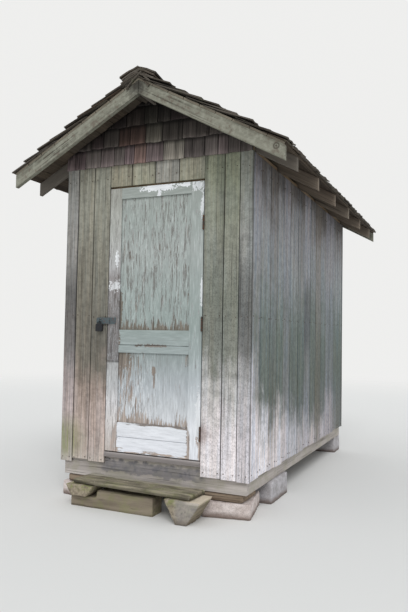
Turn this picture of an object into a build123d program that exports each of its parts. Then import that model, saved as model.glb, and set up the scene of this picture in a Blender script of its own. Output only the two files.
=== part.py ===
# Small timber shed: vertical board walls on a timber floor frame, a shingled gable
# roof on rafters, and one panelled door that swings outward on three butt hinges.
# Millimetres. The origin is on the ground in the middle of the plan, the front
# faces -Y and +Z is up.
import os
from math import cos, radians, sin, tan

from build123d import *

os.makedirs("parts", exist_ok=True)

# Driving dimensions of the house
wall_width = 1596
wall_depth = 3118
wall_height = 2265
siding_thickness = 25
siding_lap = 115
stud_depth = 89
stud_width = 38
plate_thickness = 38

# Driving dimensions of the floor frame and what it stands on
ground_clearance = 168
sill_height = 184
sill_thickness = 38
joist_height = 140
joist_spacing = 430
floor_thickness = 25

# Driving dimensions of the roof
roof_pitch = 28.5
rafter_depth = 89
rafter_width = 38
rafter_pairs = 6
birdsmouth_seat = 60
eave_overhang = 310
rake_overhang = 268
ridge_board_depth = 89
ridge_board_thickness = 25
deck_thickness = 16
shingle_overhang = 25
shingle_rake_overhang = 22
course_exposure = 142
course_fall = 12
course_heights = (26, 40, 48, 52, 56)
cap_reach = 135
cap_thickness = 40
cap_edge = 18

# Driving dimensions of the doorway and the door leaf
opening_width = 813
opening_centre = 15.5
over_door_height = 171
door_thickness = 35
door_gap_below = 8
door_gap_above = 16
door_gap_side = 5
stile_width = 102
top_rail = 86
lock_rail_parts = (114, 58)
lock_rail_bottom = 755
bottom_rail_parts = (112, 110)
rail_crack = 3
panel_thickness = 10
groove_depth = 12
groove_clearance = 0.3

# Levels and faces that follow from them
sill_bottom = ground_clearance
sill_top = sill_bottom + sill_height
floor_top = sill_top + floor_thickness
siding_bottom = floor_top - siding_lap
plate_top = floor_top + wall_height
gable_line = plate_top - plate_thickness
half_width = wall_width / 2
half_depth = wall_depth / 2
frame_half_width = half_width - siding_thickness
frame_half_depth = half_depth - siding_thickness
frame_width = 2 * frame_half_width
frame_depth = 2 * frame_half_depth
opening_left = opening_centre - opening_width / 2
opening_right = opening_centre + opening_width / 2
opening_top = gable_line - over_door_height
door_bottom = floor_top + door_gap_below
door_top = opening_top - door_gap_above
door_height = door_top - door_bottom
leaf_left = opening_left + door_gap_side
leaf_right = opening_right - door_gap_side

# Slopes of the roof: the rafters' feet sit on the side plates
roof_slope = tan(radians(roof_pitch))
pitch_cos = cos(radians(roof_pitch))
pitch_sin = sin(radians(roof_pitch))
rafter_plumb = rafter_depth / pitch_cos
deck_plumb = deck_thickness / pitch_cos
ridge_underside = plate_top + (frame_half_width - birdsmouth_seat) * roof_slope
ridge_z = ridge_underside + rafter_plumb
tail_x = half_width + eave_overhang


def rafter_top(x):
    """Height of the rafters' top edge at a distance from the ridge."""
    return ridge_z - x * roof_slope


def rafter_underside(x):
    """Height of the rafters' lower edge at a distance from the ridge."""
    return rafter_top(x) - rafter_plumb


# Foundation pads: blocks that run down to the ground, the front pair turned a little
pad_inset = 30
front_pad_size = (360, 430)
front_pad_height = 110
front_pad_turn = 11
front_pad_inset = 188
front_pad_setback = 215
middle_pad_size = (250, 424)
middle_pad_setback = 718
rear_pad_size = (250, 270)
rear_pad_setback = 121
packing_size = (300, 290)
packing_inset = (34, 6)
front_pad_sin = sin(radians(front_pad_turn))
front_pad_cos = cos(radians(front_pad_turn))
front_pad_reach = (front_pad_size[0] * front_pad_sin + front_pad_size[1] * front_pad_cos) / 2

with BuildPart() as pads_front:
    for side in (-1, 1):
        pad_plane = Plane(
            origin=(side * (frame_half_width - front_pad_inset), front_pad_setback - half_depth, 0),
            x_dir=(front_pad_cos, side * front_pad_sin, 0),
            z_dir=(0, 0, 1),
        )
        with BuildSketch(pad_plane):
            Rectangle(*front_pad_size)
        extrude(amount=front_pad_height)
pads_front.part.label = "pads_front"
export_step(pads_front.part, "parts/pads_front.step")

# Timber packing between the low front pads and the sills
with BuildPart() as packing_front:
    with BuildSketch(Plane.XY.offset(front_pad_height)):
        for side in (-1, 1):
            packing_x = side * (frame_half_width - packing_inset[0] - packing_size[0] / 2)
            packing_y = -frame_half_depth + packing_inset[1] + packing_size[1] / 2
            with Locations((packing_x, packing_y)):
                Rectangle(*packing_size)
    extrude(amount=sill_bottom - front_pad_height)
packing_front.part.label = "packing_front"
export_step(packing_front.part, "parts/packing_front.step")

with BuildPart() as pads_side:
    with BuildSketch():
        middle_pad_y = middle_pad_setback - half_depth
        rear_pad_y = half_depth - rear_pad_setback
        middle_pad_x = frame_half_width + pad_inset - middle_pad_size[0] / 2
        rear_pad_x = frame_half_width - rear_pad_size[0] / 2
        with Locations((-middle_pad_x, middle_pad_y), (middle_pad_x, middle_pad_y)):
            Rectangle(*middle_pad_size)
        with Locations((-rear_pad_x, rear_pad_y), (rear_pad_x, rear_pad_y)):
            Rectangle(*rear_pad_size)
    extrude(amount=sill_bottom)
pads_side.part.label = "pads_side"
export_step(pads_side.part, "parts/pads_side.step")

# Step: a plank on two split logs, the left one let into a rough timber. The right one is
# a broad wedge of a bigger log, which sticks out past the plank and ends at the pad.
plank_size = (995, 225, 35)
plank_x = -20
plank_turn = 3.4
plank_round = 4
plank_clearance = 0.3
plank_top = 198
bearer_top = plank_top - plank_size[2]
bearer_length = 190
bearer_reach = 240
bearer_y = -half_depth - bearer_reach
left_bearer_x = -452
left_bearer_width = 240
left_bearer_depth = 84
right_bearer_x = 412
right_bearer_width = 285
right_bearer_reach = 281
right_bearer_gap = 20
right_bearer_y = -half_depth - right_bearer_reach
right_bearer_back = -half_depth + front_pad_setback - front_pad_reach - right_bearer_gap
block_left = -546
block_right = 154
block_width = 150
block_top = 133
block_reach = 200
block_front = -half_depth - block_reach
notch_clearance = 10
block_edge = 14
round_log = (0.5, 0.84)
wedge_log = (0.3, 0.66)

plank_cos = cos(radians(plank_turn))
plank_sin = sin(radians(plank_turn))
plank_reach = (plank_size[0] * plank_sin + plank_size[1] * plank_cos) / 2
plank_y = -frame_half_depth - plank_clearance - plank_reach

with BuildPart() as step_plank:
    plank_plane = Plane(
        origin=(plank_x, plank_y, bearer_top),
        x_dir=(plank_cos, -plank_sin, 0),
        z_dir=(0, 0, 1),
    )
    with BuildSketch(plank_plane):
        Rectangle(plank_size[0], plank_size[1])
    extrude(amount=plank_size[2])
    fillet(step_plank.edges().filter_by(Plane.XY).group_by(Axis.Z)[-1], radius=plank_round)
step_plank.part.label = "step_plank"
export_step(step_plank.part, "parts/step_plank.step")

notch_right = left_bearer_x + left_bearer_width / 2 + notch_clearance
notch_top = bearer_top - left_bearer_depth
with BuildPart() as step_block:
    with BuildSketch(Plane.XZ.offset(-block_front - block_width)):
        with BuildLine():
            Polyline(
                (block_left, 0),
                (block_right, 0),
                (block_right, block_top),
                (notch_right, block_top),
                (notch_right, notch_top),
                (block_left, notch_top),
                close=True,
            )
        make_face()
    extrude(amount=block_width)
    chamfer(step_block.edges().filter_by(Axis.X).group_by(Axis.Z)[-1], length=block_edge)
step_block.part.label = "step_block"
export_step(step_block.part, "parts/step_block.step")


def split_log(centre_x, width, bottom, shares):
    """Section of a log split flat on top, with its rounded side down to a level bottom.
    The shares are of its width: the foot's, and the girth's halfway up."""
    half_foot = shares[0] * width / 2
    half_girth = shares[1] * width / 2
    middle_z = (bearer_top + bottom) / 2
    with BuildLine() as section:
        top = Line((centre_x - width / 2, bearer_top), (centre_x + width / 2, bearer_top))
        foot = Line((centre_x - half_foot, bottom), (centre_x + half_foot, bottom))
        ThreePointArc(top @ 0, (centre_x - half_girth, middle_z), foot @ 0)
        ThreePointArc(top @ 1, (centre_x + half_girth, middle_z), foot @ 1)
    make_face(section.edges())


with BuildPart() as step_bearers:
    with BuildSketch(Plane.XZ.offset(-bearer_y - bearer_length)):
        split_log(left_bearer_x, left_bearer_width, notch_top, round_log)
    extrude(amount=bearer_length)
    with BuildSketch(Plane.XZ.offset(-right_bearer_back)):
        split_log(right_bearer_x, right_bearer_width, 0, wedge_log)
    extrude(amount=right_bearer_back - right_bearer_y)
step_bearers.part.label = "step_bearers"
export_step(step_bearers.part, "parts/step_bearers.step")

# Floor frame: sills on the pads, joists between the long sills, boards on top
with BuildPart() as end_sills:
    with Locations((0, 0, sill_bottom)):
        with GridLocations(0, frame_depth - sill_thickness, 1, 2):
            Box(
                frame_width,
                sill_thickness,
                sill_height,
                align=(Align.CENTER, Align.CENTER, Align.MIN),
            )
end_sills.part.label = "end_sills"
export_step(end_sills.part, "parts/end_sills.step")

long_sill_length = frame_depth - 2 * sill_thickness
with BuildPart() as side_sills:
    with Locations((0, 0, sill_bottom)):
        with GridLocations(frame_width - sill_thickness, 0, 2, 1):
            Box(
                sill_thickness,
                long_sill_length,
                sill_height,
                align=(Align.CENTER, Align.CENTER, Align.MIN),
            )
side_sills.part.label = "side_sills"
export_step(side_sills.part, "parts/side_sills.step")

joist_length = frame_width - 2 * sill_thickness
joist_count = int(long_sill_length // joist_spacing)
joist_gap = long_sill_length / (joist_count + 1)
with BuildPart() as floor_joists:
    with Locations((0, 0, sill_top)):
        with GridLocations(0, joist_gap, 1, joist_count):
            Box(joist_length, stud_width, joist_height, align=(Align.CENTER, Align.CENTER, Align.MAX))
floor_joists.part.label = "floor_joists"
export_step(floor_joists.part, "parts/floor_joists.step")

with BuildPart() as floor_boards:
    with Locations((0, 0, sill_top)):
        Box(frame_width, frame_depth, floor_thickness, align=(Align.CENTER, Align.CENTER, Align.MIN))
floor_boards.part.label = "floor_boards"
export_step(floor_boards.part, "parts/floor_boards.step")

# Threshold strip across the doorway, its nose rounded and a little proud of the boards
threshold_height = 40
threshold_nose = 5
with BuildPart() as threshold:
    with Locations((opening_centre, -frame_half_depth, floor_top)):
        Box(
            opening_width,
            siding_thickness + threshold_nose,
            threshold_height,
            align=(Align.CENTER, Align.MAX, Align.MAX),
        )
    fillet(threshold.edges().filter_by(Axis.X).group_by(Axis.Y)[0], radius=threshold_nose)
threshold.part.label = "threshold"
export_step(threshold.part, "parts/threshold.step")

# Wall frame: corner posts, door posts, studs under the rafters, plates and header
post_height = gable_line - floor_top
corner_x = frame_half_width - stud_depth / 2
corner_y = frame_half_depth - stud_depth / 2
first_rafter_y = frame_half_depth - rafter_width / 2
rafter_gap = 2 * first_rafter_y / (rafter_pairs - 1)
rear_bays = 3
rear_stud_x = frame_half_width / rear_bays

with BuildPart() as posts:
    with BuildSketch(Plane.XY.offset(floor_top)):
        with GridLocations(2 * corner_x, 2 * corner_y, 2, 2):
            Rectangle(stud_depth, stud_depth)
        for door_post_x in (opening_left - stud_width / 2, opening_right + stud_width / 2):
            with Locations((door_post_x, -corner_y)):
                Rectangle(stud_width, stud_depth)
    extrude(amount=post_height)
posts.part.label = "posts"
export_step(posts.part, "parts/posts.step")

with BuildPart() as wall_studs:
    with BuildSketch(Plane.XY.offset(floor_top)):
        with GridLocations(2 * corner_x, rafter_gap, 2, rafter_pairs - 2):
            Rectangle(stud_depth, stud_width)
        with Locations((-rear_stud_x, corner_y), (rear_stud_x, corner_y)):
            Rectangle(stud_width, stud_depth)
    extrude(amount=post_height)
wall_studs.part.label = "wall_studs"
export_step(wall_studs.part, "parts/wall_studs.step")

with BuildPart() as side_plates:
    with BuildSketch(Plane.XY.offset(gable_line)):
        with GridLocations(2 * corner_x, 0, 2, 1):
            Rectangle(stud_depth, frame_depth)
    extrude(amount=plate_thickness)
side_plates.part.label = "side_plates"
export_step(side_plates.part, "parts/side_plates.step")

with BuildPart() as end_plates:
    with BuildSketch(Plane.XY.offset(gable_line)):
        with GridLocations(0, 2 * corner_y, 1, 2):
            Rectangle(frame_width - 2 * stud_depth, stud_depth)
    extrude(amount=plate_thickness)
end_plates.part.label = "end_plates"
export_step(end_plates.part, "parts/end_plates.step")

with BuildPart() as door_header:
    with Locations((opening_centre, -corner_y, opening_top)):
        Box(opening_width, stud_depth, stud_depth, align=(Align.CENTER, Align.CENTER, Align.MIN))
door_header.part.label = "door_header"
export_step(door_header.part, "parts/door_header.step")

# Door stops: strips on the posts and the header that the closed leaf comes up to
stop_size = 19
stop_gap = 5
stop_joint = 0.5
stop_front = -half_depth + door_thickness + stop_gap
with BuildPart() as door_stops:
    for stop_x in (opening_left + stop_size / 2, opening_right - stop_size / 2):
        with Locations((stop_x, stop_front, floor_top)):
            Box(
                stop_size,
                stop_size,
                opening_top - floor_top,
                align=(Align.CENTER, Align.MIN, Align.MIN),
            )
    with Locations((opening_centre, stop_front, opening_top)):
        Box(
            opening_width - 2 * (stop_size + stop_joint),
            stop_size,
            stop_size,
            align=(Align.CENTER, Align.MIN, Align.MAX),
        )
door_stops.part.label = "door_stops"
export_step(door_stops.part, "parts/door_stops.step")

# Siding: rough boards nailed upright on the frame, in one slab for each stretch of wall
front_left_width = half_width + opening_left
front_right_width = half_width - opening_right
end_siding_height = gable_line - siding_bottom

with BuildPart() as front_wall_left:
    with Locations((-half_width, -half_depth, siding_bottom)):
        Box(
            front_left_width,
            siding_thickness,
            end_siding_height,
            align=(Align.MIN, Align.MIN, Align.MIN),
        )
front_wall_left.part.label = "front_wall_left"
export_step(front_wall_left.part, "parts/front_wall_left.step")

with BuildPart() as front_wall_right:
    with Locations((half_width, -half_depth, siding_bottom)):
        Box(
            front_right_width,
            siding_thickness,
            end_siding_height,
            align=(Align.MAX, Align.MIN, Align.MIN),
        )
front_wall_right.part.label = "front_wall_right"
export_step(front_wall_right.part, "parts/front_wall_right.step")

with BuildPart() as front_wall_over_door:
    with Locations((opening_centre, -half_depth, opening_top)):
        Box(
            opening_width,
            siding_thickness,
            gable_line - opening_top,
            align=(Align.CENTER, Align.MIN, Align.MIN),
        )
front_wall_over_door.part.label = "front_wall_over_door"
export_step(front_wall_over_door.part, "parts/front_wall_over_door.step")

with BuildPart() as rear_wall:
    with Locations((0, half_depth, siding_bottom)):
        Box(
            wall_width,
            siding_thickness,
            end_siding_height,
            align=(Align.CENTER, Align.MAX, Align.MIN),
        )
rear_wall.part.label = "rear_wall"
export_step(rear_wall.part, "parts/rear_wall.step")

# The side boards' tops are bevelled to the rafters' undersides
with BuildPart() as right_wall:
    with BuildSketch(Plane.XZ.offset(-frame_half_depth)):
        with BuildLine():
            Polyline(
                (frame_half_width, siding_bottom),
                (half_width, siding_bottom),
                (half_width, rafter_underside(half_width)),
                (frame_half_width, rafter_underside(frame_half_width)),
                close=True,
            )
        make_face()
    extrude(amount=frame_depth)
right_wall.part.label = "right_wall"
export_step(right_wall.part, "parts/right_wall.step")

with BuildPart() as left_wall:
    add(mirror(right_wall.part, about=Plane.YZ, mode=Mode.PRIVATE))
left_wall.part.label = "left_wall"
export_step(left_wall.part, "parts/left_wall.step")

# Gables: a boarded panel at each end, notched for the ridge board
notch_gap = 0.3
notch_half = ridge_board_thickness / 2 + notch_gap
ridge_board_top = ridge_z - ridge_board_thickness / 2 * roof_slope
ridge_notch = ridge_board_top - ridge_board_depth - notch_gap


def gable_outline(bottom):
    """Face of a gable from a level up to the deck, with the notch for the ridge board."""
    with BuildLine() as outline:
        Polyline(
            (-half_width, bottom),
            (half_width, bottom),
            (half_width, rafter_top(half_width)),
            (notch_half, rafter_top(notch_half)),
            (notch_half, ridge_notch),
            (-notch_half, ridge_notch),
            (-notch_half, rafter_top(notch_half)),
            (-half_width, rafter_top(half_width)),
            close=True,
        )
    make_face(outline.edges())


with BuildPart() as front_gable:
    with BuildSketch(Plane.XZ.offset(frame_half_depth)):
        gable_outline(gable_line)
    extrude(amount=siding_thickness)
front_gable.part.label = "front_gable"
export_step(front_gable.part, "parts/front_gable.step")

with BuildPart() as rear_gable:
    with BuildSketch(Plane.XZ.offset(-half_depth)):
        gable_outline(gable_line)
    extrude(amount=siding_thickness)
rear_gable.part.label = "rear_gable"
export_step(rear_gable.part, "parts/rear_gable.step")

# Gable shingles: tapered courses lapped like scales, cut to the slope of the roof
gable_exposure = 148
gable_lap = 12
gable_butt = 22
gable_thin = 12
gable_start = gable_line - gable_lap
gable_courses = int((ridge_z - gable_start) // gable_exposure) + 1

with BuildPart() as front_gable_shingles:
    with BuildSketch(Plane.YZ.offset(-half_width)):
        with BuildLine():
            course_points = [(-half_depth, gable_start)]
            for course in range(gable_courses):
                course_bottom = gable_start + course * gable_exposure
                course_points.append((-half_depth - gable_butt, course_bottom))
                course_points.append((-half_depth - gable_thin, course_bottom + gable_exposure))
            course_points.append((-half_depth, gable_start + gable_courses * gable_exposure))
            Polyline(*course_points, close=True)
        make_face()
    extrude(amount=wall_width)
    with BuildSketch(Plane.XZ.offset(half_depth)):
        gable_outline(gable_start)
    extrude(amount=gable_butt, mode=Mode.INTERSECT)
front_gable_shingles.part.label = "front_gable_shingles"
export_step(front_gable_shingles.part, "parts/front_gable_shingles.step")

with BuildPart() as rear_gable_shingles:
    add(mirror(front_gable_shingles.part, about=Plane.XZ, mode=Mode.PRIVATE))
rear_gable_shingles.part.label = "rear_gable_shingles"
export_step(rear_gable_shingles.part, "parts/rear_gable_shingles.step")

# Rafters: pairs with plumb cuts at the ridge board and the tails, notched over the plates
with BuildPart() as rafters:
    for rafter in range(rafter_pairs):
        rafter_back = -first_rafter_y + rafter * rafter_gap + rafter_width / 2
        with BuildSketch(Plane.XZ.offset(-rafter_back)):
            with BuildLine():
                Polyline(
                    (ridge_board_thickness / 2, rafter_top(ridge_board_thickness / 2)),
                    (tail_x, rafter_top(tail_x)),
                    (tail_x, rafter_underside(tail_x)),
                    (frame_half_width, rafter_underside(frame_half_width)),
                    (frame_half_width, plate_top),
                    (frame_half_width - birdsmouth_seat, plate_top),
                    (ridge_board_thickness / 2, rafter_underside(ridge_board_thickness / 2)),
                    close=True,
                )
            make_face()
            mirror(about=Plane.YZ)
        extrude(amount=rafter_width)
rafters.part.label = "rafters"
export_step(rafters.part, "parts/rafters.step")

# Barge rafters at the two ends, meeting in an open plumb joint at the ridge
barge_thickness = 38
barge_joint = 2
barge_front = half_depth + rake_overhang
ridge_board_end = barge_front - barge_thickness

with BuildPart() as front_barges:
    with BuildSketch(Plane.XZ.offset(ridge_board_end)):
        with BuildLine():
            Polyline(
                (barge_joint / 2, rafter_top(barge_joint / 2)),
                (tail_x, rafter_top(tail_x)),
                (tail_x, rafter_underside(tail_x)),
                (barge_joint / 2, rafter_underside(barge_joint / 2)),
                close=True,
            )
        make_face()
        mirror(about=Plane.YZ)
    extrude(amount=barge_thickness)
front_barges.part.label = "front_barges"
export_step(front_barges.part, "parts/front_barges.step")

with BuildPart() as rear_barges:
    add(mirror(front_barges.part, about=Plane.XZ, mode=Mode.PRIVATE))
rear_barges.part.label = "rear_barges"
export_step(rear_barges.part, "parts/rear_barges.step")

with BuildPart() as ridge_board:
    with Locations((0, 0, ridge_board_top)):
        Box(
            ridge_board_thickness,
            2 * ridge_board_end,
            ridge_board_depth,
            align=(Align.CENTER, Align.CENTER, Align.MAX),
        )
ridge_board.part.label = "ridge_board"
export_step(ridge_board.part, "parts/ridge_board.step")

# Roof deck: one sloping slab a side on the rafters, plumb cut at the ridge and the eave
deck_overhang = 5
deck_eave = tail_x + deck_overhang

with BuildPart() as roof_deck_right:
    with BuildSketch(Plane.XZ.offset(-barge_front)):
        with BuildLine():
            Polyline(
                (0, rafter_top(0)),
                (deck_eave, rafter_top(deck_eave)),
                (deck_eave, rafter_top(deck_eave) + deck_plumb),
                (0, rafter_top(0) + deck_plumb),
                close=True,
            )
        make_face()
    extrude(amount=2 * barge_front)
roof_deck_right.part.label = "roof_deck_right"
export_step(roof_deck_right.part, "parts/roof_deck_right.step")

with BuildPart() as roof_deck_left:
    add(mirror(roof_deck_right.part, about=Plane.YZ, mode=Mode.PRIVATE))
roof_deck_left.part.label = "roof_deck_left"
export_step(roof_deck_left.part, "parts/roof_deck_left.step")

# Roof shingles: stepped courses from the eave to the ridge, thicker towards the ridge
shingle_eave = tail_x + shingle_overhang
shingle_half_length = barge_front + shingle_rake_overhang
shingle_slope = shingle_eave / pitch_cos
course_count = round(shingle_slope / course_exposure)
course_step = shingle_slope / course_count
shingle_plane = Plane(
    origin=(shingle_eave, shingle_half_length, rafter_top(shingle_eave) + deck_plumb),
    x_dir=(-pitch_cos, 0, pitch_sin),
    z_dir=(0, -1, 0),
)


def butt_height(course):
    """Thickness of the covering at the lower edge of a course."""
    return course_heights[min(course, len(course_heights) - 1)]


def slope_at_ridge(height):
    """Distance up the slope at which a height above the deck is over the ridge."""
    return (shingle_eave + height * pitch_sin) / pitch_cos


ridge_covering = butt_height(course_count - 1) - course_fall

with BuildPart() as shingles_right:
    with BuildSketch(shingle_plane):
        with BuildLine():
            roof_points = [(0, 0)]
            for course in range(course_count):
                course_start = course * course_step
                roof_points.append((course_start, -butt_height(course)))
                if course < course_count - 1:
                    roof_points.append((course_start + course_step, course_fall - butt_height(course)))
            roof_points.append((slope_at_ridge(ridge_covering), -ridge_covering))
            roof_points.append((slope_at_ridge(0), 0))
            Polyline(*roof_points, close=True)
        make_face()
    extrude(amount=2 * shingle_half_length)
shingles_right.part.label = "shingles_right"
export_step(shingles_right.part, "parts/shingles_right.step")

with BuildPart() as shingles_left:
    add(mirror(shingles_right.part, about=Plane.YZ, mode=Mode.PRIVATE))
shingles_left.part.label = "shingles_left"
export_step(shingles_left.part, "parts/shingles_left.step")

# Ridge cap: bent shingles lapped along the ridge, rounded over the top
cap_round = 60
cap_foot = slope_at_ridge(0) - cap_reach
last_butt = (course_count - 1) * course_step
last_course = slope_at_ridge(ridge_covering) - last_butt
cap_fall = course_fall * (cap_foot - last_butt) / last_course
cap_foot_height = butt_height(course_count - 1) - cap_fall


def on_roof(slope_distance, height):
    """Point on the right side of the roof, across the ridge and up, from its place on the slope."""
    return (
        shingle_eave - slope_distance * pitch_cos + height * pitch_sin,
        rafter_top(shingle_eave) + deck_plumb + slope_distance * pitch_sin + height * pitch_cos,
    )


cap_top_height = ridge_covering + cap_thickness
cap_inside = on_roof(cap_foot, cap_foot_height)
cap_outside = on_roof(cap_foot, cap_foot_height + cap_edge)
cap_peak = on_roof(slope_at_ridge(cap_top_height), cap_top_height)
cap_crotch = on_roof(slope_at_ridge(ridge_covering), ridge_covering)

with BuildPart() as ridge_cap:
    with BuildSketch(Plane.XZ.offset(-shingle_half_length)) as cap_section:
        with BuildLine():
            Polyline(
                cap_crotch,
                cap_inside,
                cap_outside,
                cap_peak,
                (-cap_outside[0], cap_outside[1]),
                (-cap_inside[0], cap_inside[1]),
                close=True,
            )
        make_face()
        fillet(cap_section.vertices().sort_by(Axis.Y)[-1], radius=cap_round)
    extrude(amount=2 * shingle_half_length)
ridge_cap.part.label = "ridge_cap"
export_step(ridge_cap.part, "parts/ridge_cap.step")

# Door leaf: ploughed stiles and rails round two thin panels, the rails stub tenoned
leaf_front = -half_depth
leaf_middle = leaf_front + door_thickness / 2
inner_left = leaf_left + stile_width
inner_right = leaf_right - stile_width
inner_width = inner_right - inner_left
inner_centre = (inner_left + inner_right) / 2
groove_width = panel_thickness + 2 * groove_clearance
tongue_depth = groove_depth - groove_clearance
bottom_rail_edges = (
    (door_bottom, bottom_rail_parts[0]),
    (door_bottom + bottom_rail_parts[0] + rail_crack, bottom_rail_parts[1]),
)
lock_rail_edges = (
    (door_bottom + lock_rail_bottom, lock_rail_parts[1]),
    (door_bottom + lock_rail_bottom + lock_rail_parts[1] + rail_crack, lock_rail_parts[0]),
)
top_rail_edges = ((door_top - top_rail, top_rail),)
lower_panel_bottom = sum(bottom_rail_edges[-1])
lower_panel_top = lock_rail_edges[0][0]
upper_panel_bottom = sum(lock_rail_edges[-1])
upper_panel_top = top_rail_edges[0][0]

with BuildPart() as door_stiles:
    for stile_centre in (leaf_left + stile_width / 2, leaf_right - stile_width / 2):
        with Locations((stile_centre, leaf_middle, door_bottom)):
            Box(
                stile_width,
                door_thickness,
                door_height,
                align=(Align.CENTER, Align.CENTER, Align.MIN),
            )
    with Locations((inner_centre, leaf_middle, door_bottom)):
        Box(
            inner_width + 2 * groove_depth,
            groove_width,
            door_height,
            align=(Align.CENTER, Align.CENTER, Align.MIN),
            mode=Mode.SUBTRACT,
        )
door_stiles.part.label = "door_stiles"
export_step(door_stiles.part, "parts/door_stiles.step")

with BuildPart() as door_rails:
    for rail_bottom, rail_height in bottom_rail_edges + lock_rail_edges + top_rail_edges:
        with Locations((inner_centre, leaf_middle, rail_bottom)):
            Box(
                inner_width,
                door_thickness,
                rail_height,
                align=(Align.CENTER, Align.CENTER, Align.MIN),
            )
            Box(
                inner_width + 2 * tongue_depth,
                panel_thickness,
                rail_height,
                align=(Align.CENTER, Align.CENTER, Align.MIN),
            )
    for opening_low, opening_high in (
        (lower_panel_bottom, lower_panel_top),
        (upper_panel_bottom, upper_panel_top),
    ):
        with Locations((inner_centre, leaf_middle, opening_low - groove_depth)):
            Box(
                inner_width + 2 * groove_depth,
                groove_width,
                opening_high - opening_low + 2 * groove_depth,
                align=(Align.CENTER, Align.CENTER, Align.MIN),
                mode=Mode.SUBTRACT,
            )
door_rails.part.label = "door_rails"
export_step(door_rails.part, "parts/door_rails.step")

with BuildPart() as door_panels:
    for panel_low, panel_high in (
        (lower_panel_bottom, lower_panel_top),
        (upper_panel_bottom, upper_panel_top),
    ):
        with Locations((inner_centre, leaf_middle, panel_low - tongue_depth)):
            Box(
                inner_width + 2 * tongue_depth,
                panel_thickness,
                panel_high - panel_low + 2 * tongue_depth,
                align=(Align.CENTER, Align.CENTER, Align.MIN),
            )
door_panels.part.label = "door_panels"
export_step(door_panels.part, "parts/door_panels.step")

# Butt hinges: a leaf on the door's edge and one on the doorway's, round a fixed pin
hinge_from_bottom = 187
hinge_middle = 979
hinge_from_top = 310
hinge_heights = (hinge_from_bottom, hinge_middle, door_height - hinge_from_top)
hinge_length = 102
hinge_knuckles = 5
hinge_leaf_thickness = 2
hinge_leaf_width = 32
hinge_barrel_radius = 6.5
hinge_pin_radius = 3
hinge_pin_clearance = 0.05
hinge_knuckle_gap = 0.5
hinge_tip = 4
hinge_stand_off = 7
hinge_x = (leaf_right + opening_right) / 2
hinge_y = -half_depth - hinge_stand_off
knuckle_pitch = hinge_length / hinge_knuckles
knuckle_length = knuckle_pitch - hinge_knuckle_gap


def hinge_leaf(edge_x, towards, hinge_bottom, knuckle_numbers):
    """Plate against the edge at edge_x, with a strap out to each of its knuckles."""
    plate_side = Align.MAX if towards > 0 else Align.MIN
    with Locations((edge_x, -half_depth, hinge_bottom)):
        Box(
            hinge_leaf_thickness,
            hinge_leaf_width,
            hinge_length,
            align=(plate_side, Align.MIN, Align.MIN),
        )
    for knuckle in knuckle_numbers:
        knuckle_bottom = hinge_bottom + knuckle * knuckle_pitch
        with Locations((edge_x, -half_depth, knuckle_bottom)):
            Box(
                hinge_leaf_thickness,
                hinge_stand_off,
                knuckle_length,
                align=(plate_side, Align.MAX, Align.MIN),
            )
        with Locations((hinge_x, hinge_y, knuckle_bottom)):
            Cylinder(
                hinge_barrel_radius,
                knuckle_length,
                align=(Align.CENTER, Align.CENTER, Align.MIN),
            )


with BuildPart() as hinge_wall_leaves:
    for hinge_height in hinge_heights:
        hinge_bottom = door_bottom + hinge_height - hinge_length / 2
        hinge_leaf(opening_right, 1, hinge_bottom, range(0, hinge_knuckles, 2))
        with Locations((hinge_x, hinge_y, hinge_bottom - hinge_tip)):
            Cylinder(
                hinge_pin_radius,
                hinge_length + 2 * hinge_tip,
                align=(Align.CENTER, Align.CENTER, Align.MIN),
            )
hinge_wall_leaves.part.label = "hinge_wall_leaves"
export_step(hinge_wall_leaves.part, "parts/hinge_wall_leaves.step")

with BuildPart() as hinge_door_leaves:
    for hinge_height in hinge_heights:
        hinge_bottom = door_bottom + hinge_height - hinge_length / 2
        hinge_leaf(leaf_right, -1, hinge_bottom, range(1, hinge_knuckles, 2))
    with Locations((hinge_x, hinge_y, door_bottom)):
        Cylinder(
            hinge_pin_radius + hinge_pin_clearance,
            door_height,
            align=(Align.CENTER, Align.CENTER, Align.MIN),
            mode=Mode.SUBTRACT,
        )
hinge_door_leaves.part.label = "hinge_door_leaves"
export_step(hinge_door_leaves.part, "parts/hinge_door_leaves.step")

# Hasp: a plate on the door, and a strap that reaches over the wall to its staple
hasp_height = 998
hasp_width = 50
hasp_thickness = 3
hasp_round = 12.5
hasp_right = -311
hasp_left = -484
hasp_plate_length = 60
hasp_knuckle_radius = 5
hasp_stand_off = 7
staple_x = -448
staple_rod = 6
staple_span = 22
staple_reach = 26
staple_bend = 8
lock_size = (60, 20, 58)
lock_edge = 4
lock_offset = 14
shackle_rod = 7
shackle_span = 30
shackle_rise = 22
shackle_play = 0.3
shackle_seat = 5

hasp_z = door_bottom + hasp_height
hasp_plate_left = hasp_right - hasp_plate_length
strap_back = -half_depth - hasp_stand_off
strap_front = strap_back - hasp_thickness
hasp_knuckle_y = -half_depth - hasp_knuckle_radius

with BuildPart() as hasp_strap:
    with Locations((hasp_right, -half_depth, hasp_z)):
        Box(
            hasp_plate_length,
            hasp_thickness,
            hasp_width,
            align=(Align.MAX, Align.MAX, Align.CENTER),
        )
    with Locations((hasp_plate_left, hasp_knuckle_y, hasp_z)):
        Cylinder(hasp_knuckle_radius, hasp_width)
    with Locations((hasp_plate_left, strap_back, hasp_z)):
        Box(
            hasp_plate_left - hasp_left,
            hasp_thickness,
            hasp_width,
            align=(Align.MAX, Align.MAX, Align.CENTER),
        )
    fillet(hasp_strap.edges().filter_by(Axis.Y).group_by(Axis.X)[0], radius=hasp_round)
hasp_strap.part.label = "hasp_strap"
export_step(hasp_strap.part, "parts/hasp_strap.step")

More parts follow.
